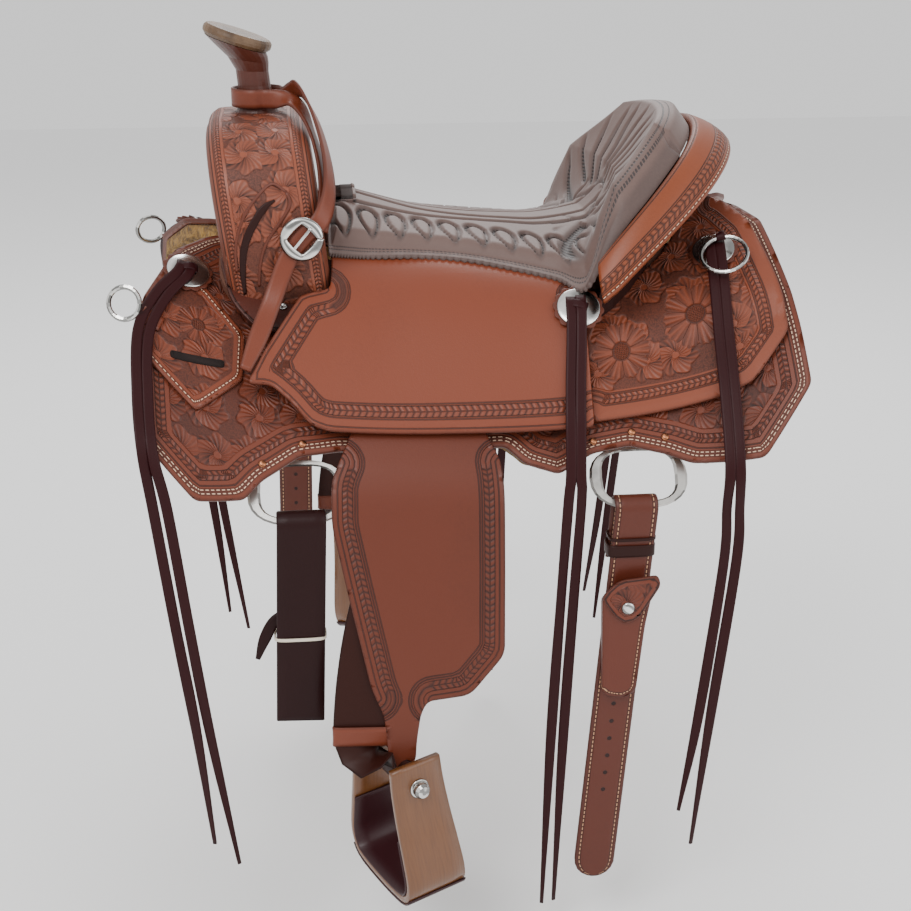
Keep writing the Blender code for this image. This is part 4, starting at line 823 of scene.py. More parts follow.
# %% Skirts and jockeys
SKIRT_OUT = [(-0.2625, 0.033), (-0.2785, 0.045), (-0.3085, 0.080), (-0.3235, 0.122), (-0.3395, 0.165),
             (-0.3475, 0.238), (-0.3435, 0.318), (-0.2895, 0.362), (-0.2415, 0.349), (-0.2225, 0.326),
             (-0.1835, 0.296), (-0.1435, 0.288), (0.0275, 0.284), (0.0465, 0.303), (0.0815, 0.316),
             (0.1185, 0.297), (0.1565, 0.294), (0.1925, 0.308), (0.2205, 0.324), (0.2945, 0.341),
             (0.3475, 0.290), (0.3465, 0.225), (0.3445, 0.182), (0.3335, 0.071), (0.3145, 0.030),
             (0.2975, 0.008), (0.2650, 0.008), (0.2400, 0.052), (-0.20, 0.052)]
FLEECE_OUT = [(-0.2595, 0.037), (-0.2750, 0.049), (-0.3045, 0.083), (-0.3195, 0.124), (-0.3355, 0.166),
              (-0.3435, 0.239), (-0.3395, 0.316), (-0.2885, 0.357), (-0.2525, 0.347), (-0.2440, 0.292),
              (-0.2150, 0.264), (-0.1400, 0.258), (0.0275, 0.279), (0.0485, 0.298), (0.0800, 0.308),
              (0.1040, 0.268), (0.1600, 0.258), (0.2180, 0.268), (0.2330, 0.322), (0.2925, 0.336),
              (0.3435, 0.288), (0.3425, 0.225), (0.3405, 0.183), (0.3295, 0.073), (0.3110, 0.034),
              (0.2955, 0.012), (0.2680, 0.012), (0.2440, 0.056), (-0.197, 0.056)]
JOCKEY_OUT = [(-0.146, 0.045), (-0.143, 0.109), (-0.146, 0.143), (-0.177, 0.1525), (-0.197, 0.181),
              (-0.218, 0.211), (-0.2345, 0.241), (-0.2105, 0.239), (-0.1915, 0.252), (-0.1725, 0.271),
              (-0.1545, 0.276), (-0.010, 0.277), (0.1185, 0.279), (0.1185, 0.169), (0.112, 0.109),
              (0.112, 0.020), (-0.120, 0.020)]
REAR_OUT = [(0.1200, 0.268), (0.2595, 0.266), (0.2905, 0.261), (0.3315, 0.225), (0.3325, 0.199),
            (0.3155, 0.078), (0.2995, 0.038), (0.2800, 0.012), (0.2500, 0.012), (0.2430, 0.050),
            (0.2180, 0.085), (0.1850, 0.112), (0.1500, 0.128), (0.1200, 0.136)]
KEEPER_OUT = [(-0.3165, 0.126), (-0.3435, 0.227), (-0.2865, 0.272), (-0.2395, 0.225), (-0.2365, 0.172),
              (-0.2775, 0.122)]
SLOT_OUT = [(-0.3115, 0.2155), (-0.2575, 0.2085), (-0.2575, 0.2175), (-0.3115, 0.2245)]
FLANGE_OUT = [(-0.264, 0.080), (-0.1535, 0.080), (-0.168, 0.140), (-0.190, 0.168), (-0.222, 0.172),
              (-0.250, 0.145)]

SKIRT_TOP, KEEPER_TOP, SLOT_TOP, FLEECE_TOP = 0.0230, 0.0277, 0.0290, 0.0172
JOCKEY_THICK, FLEECE_THICK = 0.0045, 0.0165


def on_side(n, side):
    """Lays a leather on the side, its top at height n."""
    return lambda x, s, h: side_point(x, s, n + h, side)


def on_bar(side):
    """Lays a leather over the tree bar and down beyond it."""
    return lambda x, s, h: side_point(x, s, over_bar(s) + JOCKEY_THICK + h, side)


def on_fleece(side):
    """Lays the fleece, with small waves on its lower face."""
    def lay(x, s, h):
        wave = 0.0016 * math.sin(310 * x) * math.sin(290 * s + 2 * math.sin(60 * x))
        return side_point(x, s, FLEECE_TOP + h + (wave if h < -0.01 else 0.0), side)
    return lay


for word, side in SIDES:
    panel(f"skirt_panel_{word}", SKIRT_OUT, on_side(SKIRT_TOP, side), 0.005, SKIRT, "saddle",
          "saddle_leather", (f"skirt_{word}",), keep=lambda m: m[1] > 0.06 or abs(m[0]) > 0.27)
    panel(f"fleece_pile_{word}", FLEECE_OUT, on_fleece(side), FLEECE_THICK, FLEECE, "saddle", "fleece",
          (f"fleece_{word}",), step=0.006)
    panel(f"seat_jockey_{word}", JOCKEY_OUT, lambda x, s, h, side=side: seat_point(x, s, h, side),
          JOCKEY_THICK, JOCKEY, "saddle", "saddle_leather", ("seat_jockey",),
          keep=lambda m: m[1] > 0.145 and m[0] < 0.118)
    panel(f"rear_jockey_panel_{word}", REAR_OUT, on_bar(side), JOCKEY_THICK, REAR, "saddle",
          "saddle_leather", (f"rear_jockey_{word}",), keep=lambda m: m[1] > 0.24 or m[0] > 0.29)
    panel(f"keeper_{word}", KEEPER_OUT, on_side(KEEPER_TOP, side), 0.004, KEEPER, "saddle",
          "tan_leather", (f"latigo_keeper_{word}",), step=0.006)
    # The keeper slot is not cut: a thin near-black sheet is laid over it as painted shade for the hole.
    panel(f"keeper_slot_shade_{word}", SLOT_OUT, on_side(SLOT_TOP, side), 0.0016, SHADE, "saddle",
          "dark_leather", radius=0.0042)
    panel(f"swell_flange_{word}", FLANGE_OUT, on_bar(side), 0.004, FLANGE, "saddle", "saddle_leather",
          radius=0.02)
    p = side_point(-0.196, 0.140, over_bar(0.14) + JOCKEY_THICK, side)
    lathe(f"flange_screw_{word}", p, side_normal(-0.196, 0.14, side),
          [(0, 0.0045), (0.0012, 0.0048), (0.0022, 0.0036), (0.0024, 0.0022), (0.0012, 0.0016)], SILVER,
          "saddle", "polished_steel", count=20)
    for i, (x, s) in enumerate(((-0.222, 0.310), (-0.181, 0.284), (0.119, 0.286), (0.160, 0.281),
                                (0.194, 0.292))):
        dome(f"rivet_{i}_{word}", side_point(x, s, 0.0232, side), side_normal(x, s, side), 0.0042, COPPER)
print("panels laid")

# %% [markdown]
# ## Swell cover
# Leather over the fork: a rounded section carried along the arch.

# %% Swell cover
ARCH = [(0.0, 0.1595), (0.045, 0.1595), (0.087, 0.151), (0.118, 0.132), (0.139, 0.102), (0.147, 0.066),
        (0.1455, 0.030), (0.1365, -0.046)]
X0, X1, LEAN = -0.2635, -0.1545, 0.125
half = smooth_path([(y, z, 0) for y, z in ARCH], 0.004)[:, :2]
arch = np.concatenate((np.stack((-half[::-1, 0], half[::-1, 1]), 1)[:-1], half))
arch_run, arch_t = run_along(arch), tangents(arch)
arch_n = np.stack((-arch_t[:, 1], arch_t[:, 0]), 1)
arch_n *= np.sign((arch_n * (arch - np.array([0, 0.03]))).sum(1))[:, None]
DEPTH, ROUND = 0.056, 0.017
corner = [(ROUND * (1 - math.cos(a)), ROUND * (1 - math.sin(a)))
          for a in np.linspace(0.2, math.pi / 2, 7)]
section = [(X0, d) for d in np.linspace(DEPTH, ROUND, 6)]
section += [(X0 + x, d) for x, d in corner]
section += [(x, 0.0) for x in np.linspace(X0 + ROUND, X1 - ROUND, 12)[1:-1]]
section += [(X1 - x, d) for x, d in reversed(corner)]
section += [(X1, d) for d in np.linspace(ROUND, DEPTH, 6)]
wide = [0.0]
for (xa, da), (xb, db) in zip(section, section[1:]):
    wide.append(wide[-1] + math.hypot(xb - xa, db - da))


def cover_spot(i, j):
    x, d = section[j]
    y, z = arch[i] - arch_n[i] * d
    swell = 0.004 * math.sin(math.pi * (x - X0) / (X1 - X0))
    y, z = np.array((y, z)) + arch_n[i] * (swell if d < 0.001 else 0.0) * 0.6
    place = Vector((x - LEAN * (z - 0.08), y, z))
    reach = min(wide[j] - wide[8], wide[-9] - wide[j])
    return place, (wide[j] + 0.9, arch_run[i]), max(reach, 0.0), float(arch_run[i]), 0.0


grid("swell_leather", len(arch), len(section), cover_spot, SWELL, "saddle", "saddle_leather",
     ("swell_cover",), closed=True)


def on_swell(z, x, h, side):
    """A place on the side of the cover at height z, h outside it."""
    rows = [k for k in range(len(arch)) if arch[k][0] * side > 0.09]
    k = min(rows, key=lambda m: abs(arch[m][1] - z))
    bulge = 0.0024 * math.sin(math.pi * (x - X0) / (X1 - X0))
    y, zz = arch[k] + arch_n[k] * (h + bulge)
    return Vector((x - LEAN * (zz - 0.08), y, zz)), Vector((0, *arch_n[k])).normalized()


# The dark dart and the two welts beside it: (z, x) points, widths, leather, height.
DARTS = {
    "dart": ([(0.092, -0.199), (0.082, -0.212), (0.064, -0.228), (0.042, -0.239), (0.018, -0.244),
              (-0.006, -0.246)], [0.002, 0.007, 0.008, 0.0075, 0.006, 0.003], DARK, 0.0006),
    "dart_edge_a": ([(0.100, -0.186), (0.104, -0.200), (0.092, -0.220), (0.070, -0.236),
                     (0.044, -0.2465), (0.018, -0.2505)], 0.0030, STRAP, 0.0003),
    "dart_edge_b": ([(0.100, -0.186), (0.086, -0.184), (0.070, -0.196), (0.050, -0.214),
                     (0.028, -0.224), (0.000, -0.230)], 0.0030, STRAP, 0.0003),
}
for word, side in SIDES:
    for name, (points, widths, mat, h) in DARTS.items():
        p, n = zip(*(on_swell(z, x, h, side) for z, x in points))
        ribbon(f"{name}_{word}", p, n, widths, 0.0016, mat, "saddle", "saddle_leather", step=0.003)
print("swell", len(arch), "x", len(section))

# %% [markdown]
# ## Seat pad
# Rows of the padded surface, made fine, then quilted: sewn valleys between soft folds.

# %% Seat pad
RIM_X, RIM_RUN, RIM_W, RIM_Z, RIM_H = 0.1215, 0.138, 0.173, -0.004, 0.150
DISH_MID = [(0.148, 0.036), (0.186, 0.050), (0.217, 0.080), (0.240, 0.114)]
ACROSS = 20


def rim(theta):
    up, wide_ = math.sin(math.radians(theta)), math.cos(math.radians(theta))
    return np.array((RIM_X + RIM_RUN * up ** 1.1, -RIM_W * math.copysign(abs(wide_) ** 0.95, wide_),
                     RIM_Z + RIM_H * up ** 0.8))


def pad_rows():
    rows = []
    for x in (-0.146, -0.125, -0.10, -0.05, 0.0, 0.05, 0.095):
        ye = curve_through(SEAT_EDGE_Y, x)
        row = []
        for k in range(ACROSS + 1):
            y = ye * (-1 + 2 * k / ACROSS)
            row.append((x, y, seat_height(x, y) + 0.0008))
        rows.append(row)
    for (mx, mz), stop in zip(DISH_MID, (0.0, 16.0, 32.0, 50.0)):
        e = rim(stop)
        rows.append([(mx + (e[0] - mx) * v ** 2, -e[1] * v, mz + (e[2] - mz) * abs(v) ** 2.2)
                     for v in np.linspace(-1, 1, ACROSS + 1)])
    rows.append([tuple(rim(56.0 + 68.0 * k / ACROSS)) for k in range(ACROSS + 1)])
    return np.array(rows)


def resample(rows, count):
    """Smooth in-between rows, count of them between each pair."""
    p = np.concatenate((2 * rows[:1] - rows[1:2], rows, 2 * rows[-1:] - rows[-2:-1]))
    out = []
    for i in range(1, len(p) - 2):
        a, b, c, d = p[i - 1:i + 3]
        for k in range(count):
            out.append(catmull(a, b, c, d, k / count))
    out.append(p[-2])
    return np.array(out)


base = resample(pad_rows(), 20)
base = resample(base.transpose(1, 0, 2), 7).transpose(1, 0, 2)
du, dv = np.gradient(base, axis=0), np.gradient(base, axis=1)
pad_n = np.cross(du, dv)
pad_n /= np.linalg.norm(pad_n, axis=2)[..., None]
ROWS, COLS = base.shape[:2]
SEAT_ROWS = 7 * 20


def valley(distance, half):
    return math.exp(-(distance / half) ** 2)


def clamp(t):
    return min(1.0, max(0.0, t))


def quilt(i, j):
    """Depth of the sewn valleys, 0 to 1, at a place on the pad."""
    u = -1 + 2 * j / (COLS - 1)
    x, y, z = base[i, j]
    deep = 0.0
    rim_gap = (1 - abs(u)) * 0.115
    inside = clamp((rim_gap - 0.014) / 0.012)
    if i > SEAT_ROWS - 16:
        up, across = math.hypot(x - 0.140, z - 0.038) * (1 if z > 0.03 else 0.4), y
        angle, reach = math.atan2(across, up + 0.012), math.hypot(across, up)
        for fold in (-1.42, -1.16, -0.90, -0.66, -0.42, -0.20, 0.0, 0.20, 0.42, 0.66, 0.90, 1.16, 1.42):
            start = 0.046 + 0.012 * math.sin(fold * 9)
            grow = clamp((reach - start) / 0.015) * clamp((0.150 - reach) / 0.03)
            bend = fold + 0.10 * math.sin((reach - start) * 30)
            deep = max(deep, grow * valley((angle - bend) * reach, 0.0034))
        deep = max(deep, 0.8 * valley(reach - 0.040 - 0.006 * math.cos(5 * angle), 0.0026))
    if i < SEAT_ROWS + 24:
        ye = abs(base[i, 0][1])
        for line, sway, far in ((0.07, 0.04, 0.12), (0.24, 0.06, 0.2)):
            at = line + sway * math.sin(14 * (x + 0.05) + line * 9) + far * clamp((x - 0.02) / 0.12) * 0.5
            fade = clamp((SEAT_ROWS + 22 - i) / 14)
            deep = max(deep, fade * valley((abs(u) - at) * ye, 0.0026))
        pitch = 0.030
        k = (x + 0.148) / pitch
        local = (k - math.floor(k) - 0.5) * pitch
        drop = (0.84 - abs(u)) * ye
        tear = 0.0118 * (0.45 + 0.55 * clamp(drop / 0.040))
        loop = math.hypot((local + 0.16 * (drop - 0.026)) / tear, (drop - 0.026) / 0.024)
        if abs(u) > 0.32:
            deep = max(deep, clamp((SEAT_ROWS + 6 - i) / 10) * valley((loop - 1.0) * 0.0130, 0.0021))
    return deep * inside


def pad_spot(row, col):
    i, j = min(max(row - 1, 0), ROWS - 1), min(max(col - 1, 0), COLS - 1)
    outside = (i, j) != (row - 1, col - 1)
    u = -1 + 2 * j / (COLS - 1)
    deep = quilt(i, j)
    side_gap = (1 - abs(u)) * 0.115
    back = clamp((i - SEAT_ROWS) / 30)
    end, front = (ROWS - 1 - i) * 0.0022, i * 0.0034
    puff = clamp((min(side_gap, front) - 0.0125) / 0.016) * (1 - back) + clamp(
        min(side_gap, end + 0.002) / 0.020) * back
    high = 0.0150 + 0.016 * back
    flat = 0.0030 + 0.0050 * back
    lift = flat + (high - flat) * math.sin(puff * math.pi / 2) - 0.0052 * deep * puff
    place = base[i, j] + pad_n[i, j] * (-0.0006 if outside else lift)
    if back > 0 and not outside:
        place[2] += 0.013 * back * clamp(side_gap / 0.012 + 0.4)
        place[0] -= 0.004 * back
    if abs(u) == 1.0 and i < SEAT_ROWS + 6:
        place[1] += math.copysign(0.0034 * abs(math.sin(math.pi * i / 3)) ** 0.6, u)
        place[2] -= 0.0010 * abs(math.sin(math.pi * i / 3))
    if i < 14 and abs(place[1]) < 0.045:
        place[0] = max(place[0], -0.120 + 0.0006 * i)
    edge = side_gap if back < 0.5 else min(side_gap, end + 0.002)
    return Vector(place), (base[i, j][0], base[i, j][1]), edge, float(i) * 0.0030, deep


pad = grid("seat_pad_quilted", ROWS + 2, COLS + 2, pad_spot, PAD, "saddle", "pad_leather", ("seat_pad",))
print("pad", ROWS, "x", COLS)

# %% [markdown]
# ## Cantle roll

# %% Cantle roll
ROLL_SHAPE = [(0.0, -0.004), (0.0, 0.0045), (0.12, 0.0068), (0.25, 0.0078), (0.40, 0.0086),
              (0.55, 0.0088), (0.70, 0.0080), (0.85, 0.0066), (0.95, 0.0046), (1.0, 0.0022),
              (1.0, -0.0018), (0.92, -0.0040), (0.75, -0.0040), (0.5, -0.0028), (0.2, -0.0035)]
ROLL_DEG = np.linspace(7.0, 173.0, 150)
seam_run = run_along(np.array([rim(t) for t in ROLL_DEG]))


def roll_spot(i, j):
    theta = ROLL_DEG[i]
    s, c = math.sin(math.radians(theta)), math.cos(math.radians(theta))
    taper = min(1.0, 0.80 + min(theta, 180 - theta) / 60.0)
    reach = Vector((0.046 * s ** 1.3, -0.024 * c, -0.042 + 0.018 * s * s)) * taper
    t = Vector(rim(theta + 1) - rim(theta - 1)).normalized()
    up = t.cross(reach).normalized()
    up = -up if up.z < 0 else up
    a, h = ROLL_SHAPE[j]
    start = Vector(rim(theta)) + reach.normalized() * 0.001 + up * 0.001
    place = start + reach * (0.02 + 0.98 * a) + up * (h * taper + 0.001)
    across = a * 0.052 if h > 0 else 0.002
    return place, (across, seam_run[i]), across, float(seam_run[i]), 0.0


grid("cantle_roll_leather", len(ROLL_DEG), len(ROLL_SHAPE), roll_spot, ROLL, "saddle", "roll_leather",
     ("cantle_roll",), closed=True)

# %% [markdown]
# ## Fenders and stirrup leathers

# %% Fenders
FENDER_OUT = [(-0.102, -0.120), (-0.030, -0.120), (-0.030, -0.067), (0.000, -0.044), (0.012, -0.022),
              (0.0212, 0.0006), (0.0225, 0.030), (0.0215, 0.110), (0.0195, 0.200), (-0.0175, 0.243),
              (-0.0620, 0.249), (-0.0690, 0.262), (-0.0740, 0.290), (-0.0760, 0.316), (-0.1020, 0.322),
              (-0.1050, 0.292), (-0.1070, 0.264), (-0.1195, 0.235), (-0.1395, 0.140), (-0.1545, 0.064),
              (-0.1535, 0.020), (-0.1452, 0.0), (-0.135, -0.022), (-0.126, -0.044), (-0.102, -0.067)]
for word, side in SIDES:
    fender = panel(f"fender_leather_{word}", FENDER_OUT,
                   lambda x, w, h, side=side: hang_point(x, w, 0.002 + h, side), 0.004, FENDER, None,
                   "tan_leather", (f"fender_{word}", f"stirrup_leather_upper_{word}"),
                   keep=lambda m: 0.0 < m[1] <= 0.247, radius=0.010)
    tuple(hang_point(HANGER_X, -0.012, 0, side))
    tuple(hang_point(HANGER_X, 0.010, 0, side))
    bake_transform(fender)

TURN, TILT = math.radians(24.0), math.radians(6.0)
BOLT = Vector((-0.0945, 0.326, -0.4733))


def stirrup_frame(side):
    c = Vector((BOLT.x, side * BOLT.y, BOLT.z))
    out = Vector((math.sin(TURN), side * math.cos(TURN), 0))
    fore = Vector((-math.cos(TURN), side * math.sin(TURN), 0))
    up = Vector((0, 0, 1))
    return (c, out, fore * math.cos(TILT) - up * math.sin(TILT),
            up * math.cos(TILT) + fore * math.sin(TILT))


for word, side in SIDES:
    body = f"fender_lift_{word}"
    c, out, fore, up = stirrup_frame(side)
    path, faces, widths = [], [], []
    for w, x in ((0.0012, -0.0675), (0.028, -0.071), (0.0556, -0.075), (0.16, -0.105), (0.225, -0.118),
                 (0.284, -0.124)):
        path.append(hang_point(x, w, -0.0048, side))
        faces.append(Vector((0, side, 0.15)))
        widths.append(0.073)
    start, top = path[-1], c + up * 0.021 + fore * 0.0063
    for k in range(1, 6):
        t = k / 6
        ease = t * t * (3 - 2 * t)
        path.append(start * (1 - t) + top * t + Vector((-0.006, 0, -0.010)) * math.sin(math.pi * t))
        faces.append(Vector((0, side, 0.15)).lerp(-fore, ease).normalized())
        widths.append(0.071 * (1 - t) + 0.066 * t)
    for deg in range(55, 326, 30):
        a = math.radians(deg)
        d = fore * math.sin(a) + up * math.cos(a)
        path.append(c + d * 0.0105)
        faces.append(d)
        widths.append(0.066)
    ribbon(f"stirrup_strap_{word}", path, faces, widths, 0.0036, INNER, body, "horn_leather",
           (f"stirrup_leather_lower_{word}",), step=0.006)
    # Hobble strap: a loop of leather round the stirrup leather, behind the fender's neck.
    loop, loop_n = [], []
    for k in range(33):
        a = 2 * math.pi * k / 32
        q = hang_point(-0.1195 + 0.0400 * math.copysign(abs(math.cos(a)) ** 0.35, math.cos(a)), 0.286,
                       0.0035 * math.copysign(abs(math.sin(a)) ** 0.5, math.sin(a)) - 0.0048, side)
        loop.append(q)
        loop_n.append(Vector((math.cos(a) * 0.4, side * math.sin(a), 0)).normalized())
    ribbon(f"hobble_strap_{word}", loop, loop_n, 0.022, 0.0022, STRAP, body, "tan_leather", step=0.004)

# %% [markdown]
# ## Stirrups
# The bell is one bent strip of oak; leather lines its lower half, inside and under the foot.

# %% Stirrups
BELL = [(0.0400, 0.028), (0.0405, 0.0), (0.0460, -0.035), (0.0545, -0.070), (0.0600, -0.098),
        (0.0560, -0.114), (0.0430, -0.1225), (0.0, -0.1255)]
WOOD, WIDE_TOP, WIDE_LOW = 0.008, 0.0565, 0.0685
right = [Vector((*p, 0)) for p in BELL]
bell = smooth_path(right + [Vector((-p.x, p.y, 0)) for p in reversed(right[:-1])], 0.0045)[:, :2]
bell_run, bell_t = run_along(bell), tangents(bell)
bell_n = np.stack((bell_t[:, 1], -bell_t[:, 0]), 1)
bell_n *= np.sign((bell_n * (bell - np.array([0, -0.05]))).sum(1))[:, None]


def strip(name, pick, inner, outer, grow, side, mat, slot, nodes):
    """A strip bent round the bell between two offsets, with rounded edges."""
    c, out, fore, up = stirrup_frame(side)
    rows = [i for i in range(len(bell)) if pick(bell[i])]
    r = min(0.0022, (outer - inner) * 0.45)
    ring = [(-1, inner + r)] + [(f, inner) for f in (-0.97, -0.5, 0, 0.5, 0.97)] + [(1, inner + r)]
    ring += [(1, outer - r)] + [(f, outer) for f in (0.97, 0.5, 0, -0.5, -0.97)] + [(-1, outer - r)]

    def spot(i, j):
        k = rows[i]
        t = min(1.0, max(0.0, (0.03 - bell[k][1]) / 0.15))
        depth = WIDE_TOP * (1 - t) + WIDE_LOW * t + grow
        f, off = ring[j]
        q = bell[k] + bell_n[k] * off
        place = c + out * q[0] + up * q[1] + fore * (f * depth / 2)
        return place, (bell_run[k], f * depth / 2), 0.02, float(bell_run[k]), 0.0

    return grid(name, len(rows), len(ring), spot, mat, f"stirrup_turn_{name.split('_')[-1]}", slot, nodes,
                closed=True)


for word, side in SIDES:
    strip(f"bell_{word}", lambda p: True, 0.0, WOOD, 0.0, side, OAK, "stirrup_wood", (f"stirrup_{word}",))
    strip(f"tread_{word}", lambda p: p[1] < -0.050, -0.0030, -0.0004, 0.001, side, LINING, "dark_leather",
          (f"stirrup_tread_{word}",))
    strip(f"sole_{word}", lambda p: p[1] < -0.112, WOOD + 0.0002, WOOD + 0.0022, 0.001, side, LINING,
          "dark_leather", ())
    c, out, fore, up = stirrup_frame(side)
    lathe(f"bolt_washer_{word}", c + out * 0.0484, out,
          [(0, 0.0105), (0.0014, 0.0105), (0.0018, 0.0095), (0.0018, 0.005)], SILVER,
          f"stirrup_turn_{word}", "polished_steel", count=28)
print("stirrups made")

# %% [markdown]
# ## Hanging straps

# %% Hanging straps
DEES = {"front": (-0.187, 0.331), "rear": (0.166, 0.325)}
DEE_DROP, FOLD_R = 0.03075, 0.0108
TIP_SHAPE = [(0.0, 1.0), (0.3, 0.97), (0.6, 0.85), (0.8, 0.66), (0.94, 0.38), (1.0, 0.14)]


def dee_bar(kind, side, shift):
    """Middle of the lower bar of a dee."""
    x, s = DEES[kind]
    a = RIDGE + 0.30 / SIDE_R
    c = side_point(x, s, 0.0060, side)
    return c + Vector((0, side * math.cos(a), -math.sin(a))) * DEE_DROP + Vector((shift, 0, 0))


def folded(name, kind, side, shift, out_drop, in_drop, drift, width, mat, body, slot, node, tip=0.0):
    """A strap folded over the lower bar of a dee."""
    bar, r = dee_bar(kind, side, shift), FOLD_R
    out = Vector((0, side, 0))
    rows = [(bar + Vector((drift * in_drop / out_drop, 0, -in_drop)) - out * r, -out, width)]
    for deg in range(0, 181, 30):
        a = math.radians(deg)
        d = -out * math.cos(a) + Vector((0, 0, math.sin(a)))
        rows.append((bar + d * r, d, width))
    for t in (0.12, 0.3, 0.5, 0.7, 0.85):
        rows.append((bar + out * r + Vector((drift * t, 0, -(out_drop - tip) * t)), out, width))
    end = out_drop - tip
    for t, k in TIP_SHAPE if tip else TIP_SHAPE[:1]:
        rows.append((bar + out * r + Vector((drift, 0, -end - tip * t)), out, width * k))
    p, n, w = zip(*rows)
    return ribbon(name, p, n, list(w), 0.0036, mat, body, slot, (node,), step=0.005)


folded("latigo_strap", "front", NEAR, 0.002, 0.220, 0.212, -0.008, 0.050, LATIGO, "latigo_near_swing",
       "dark_leather", "latigo_near")
folded("front_billet_strap", "front", OFF, 0.0, 0.330, 0.060, -0.006, 0.045, BILLET,
       "front_billet_off_swing", "tan_leather", "front_billet_off", tip=0.024)
folded("rear_billet_strap", "rear", NEAR, -0.007, 0.440, 0.062, -0.032, 0.045, BILLET, "rear_billet_near",
       "tan_leather", "rear_billet_near", tip=0.024)
folded("rear_billet_short", "rear", OFF, -0.007, 0.130, 0.062, -0.004, 0.045, BILLET, "rear_billet_off",
       "tan_leather", "rear_billet_off", tip=0.03)
billet_bar = dee_bar("rear", NEAR, -0.007)
FACE_Y = billet_bar.y - FOLD_R - 0.0022

SHEATH_OUT = [(0.124, 0.302), (0.176, 0.300), (0.170, 0.335), (0.163, 0.412), (0.151, 0.420),
              (0.127, 0.416)]
FLAP_OUT = [(0.121, 0.300), (0.140, 0.281), (0.181, 0.277), (0.184, 0.288), (0.163, 0.324),
            (0.149, 0.331), (0.137, 0.323)]
panel("sheath_leather", SHEATH_OUT, lambda x, d, h: Vector((x, FACE_Y - 0.0110 - h, -d)), 0.0110, SHEATH,
      "rear_billet_near", "tan_leather", ("knife_sheath",), step=0.008, radius=0.008,
      keep=lambda m: m[0] > 0.150 or m[1] > 0.411)
panel("flap_leather", FLAP_OUT, lambda x, d, h: Vector((x, FACE_Y - 0.0150 - h, -d)), 0.0034, FLAP,
      "sheath_flap", "tan_leather", ("sheath_flap",), step=0.008, radius=0.008)
lathe("flap_snap", Vector((0.1500, FACE_Y - 0.0150, -0.3120)), (0, -1, 0),
      [(0, 0.0068), (0.0012, 0.0070), (0.0024, 0.0056), (0.0030, 0.0030)], SILVER, "sheath_flap",
      "polished_steel", count=28)


def belt(name, centre, width, half_x, half_y, mat, body, thick=0.002):
    """A narrow keeper round a hanging strap."""
    p, n = [], []
    for k in range(25):
        a = 2 * math.pi * k / 24
        d = Vector((math.copysign(abs(math.cos(a)) ** 0.4, math.cos(a)) * half_x,
                    math.copysign(abs(math.sin(a)) ** 0.4, math.sin(a)) * half_y, 0))
        p.append(Vector(centre) + d)
        n.append(Vector((math.cos(a) * 0.5, math.sin(a), 0)).normalized())
    return ribbon(name, p, n, width, thick, mat, body, "dark_leather", step=0.005)


belt("billet_keeper", billet_bar + Vector((-0.004, 0.0, -0.045)), 0.013, 0.0245, 0.0142, DARK,
     "rear_billet_near")
belt("billet_tie", billet_bar + Vector((-0.003, 0.0, -0.032)), 0.003, 0.0240, 0.0145, DARK,
     "rear_billet_near")
latigo_bar = dee_bar("front", NEAR, 0.002)
WHITE = leather("white_string", (0.70, 0.62, 0.50), (0.30, 0.24, 0.18), edge_dark=False)
belt("latigo_tie", latigo_bar + Vector((-0.005, 0.0, -0.125)), 0.0032, 0.0262, 0.0142, WHITE,
     "latigo_near_swing")
TAIL = [(-0.010, 0.0, -0.100), (-0.030, 0.0, -0.108), (-0.042, -0.002, -0.128), (-0.050, -0.003, -0.150)]
ribbon("latigo_tail", [latigo_bar + Vector(d) for d in TAIL], [(0, -1, 0.2)] * 4,
       [0.012, 0.012, 0.012, 0.005], 0.003, LATIGO, "latigo_near_swing", "dark_leather")
print("straps made")

# %% [markdown]
# ## Rope strap on the horn

# %% Rope strap
HORN_C, LOOP_R, LOOP_Z = Vector((-0.2155, 0, 0)), 0.0275, 0.1780
# Each row is a place on the strap and the way its face looks there.
outer_run = [((-0.1700, -0.043, 0.1890), (0.80, 0.25, 0.45)),
             ((-0.1550, -0.070, 0.1630), (0.85, 0.0, 0.50)),
             ((-0.1450, -0.100, 0.1270), (0.9, -0.3, 0.3)), ((-0.1440, -0.130, 0.0960), (0.7, -0.7, 0.1)),
             ((-0.1540, -0.1530, 0.0710), (0.2, -1, 0.1)),
             ((-0.174, -0.1560, 0.053), (0, -1, 0.06)), ((-0.190, -0.1580, 0.030), (0, -1, 0.1))]
outer_run += [(side_point(x, s, n, NEAR), side_normal(x, s, NEAR)) for x, s, n in (
    (-0.2065, 0.150, 0.063), (-0.222, 0.190, 0.0545), (-0.236, 0.226, 0.0500))]
inner_run = [((-0.1560, -0.1500, 0.0600), (0.2, -1, 0.1)), ((-0.1490, -0.130, 0.0860), (0.7, -0.7, 0.1)),
             ((-0.1510, -0.099, 0.1190), (0.9, -0.4, 0.2)), ((-0.1610, -0.070, 0.1530), (0.9, -0.3, 0.3)),
             ((-0.1765, -0.0455, 0.1770), (0.5, -0.7, 0.5))]
loop = []
for deg in range(290, -1, -29):
    a = math.radians(deg)
    d = Vector((math.cos(a), math.sin(a), 0))
    loop.append((HORN_C + d * LOOP_R + Vector((0, 0, LOOP_Z)), d))
loop += [((-0.1790, -0.018, 0.1850), (0.9, 0.4, 0.15))]
strap_rows = inner_run + loop + outer_run
ribbon("rope_strap_leather", [p for p, n in strap_rows], [n for p, n in strap_rows],
       [0.020] * (len(strap_rows) - 1) + [0.012], 0.0030, STRAP, "saddle", "tan_leather", ("rope_strap",),
       step=0.005)
BUCKLE_C, BUCKLE_N = Vector((-0.174, -0.1600, 0.053)), Vector((0, -1, 0.06)).normalized()


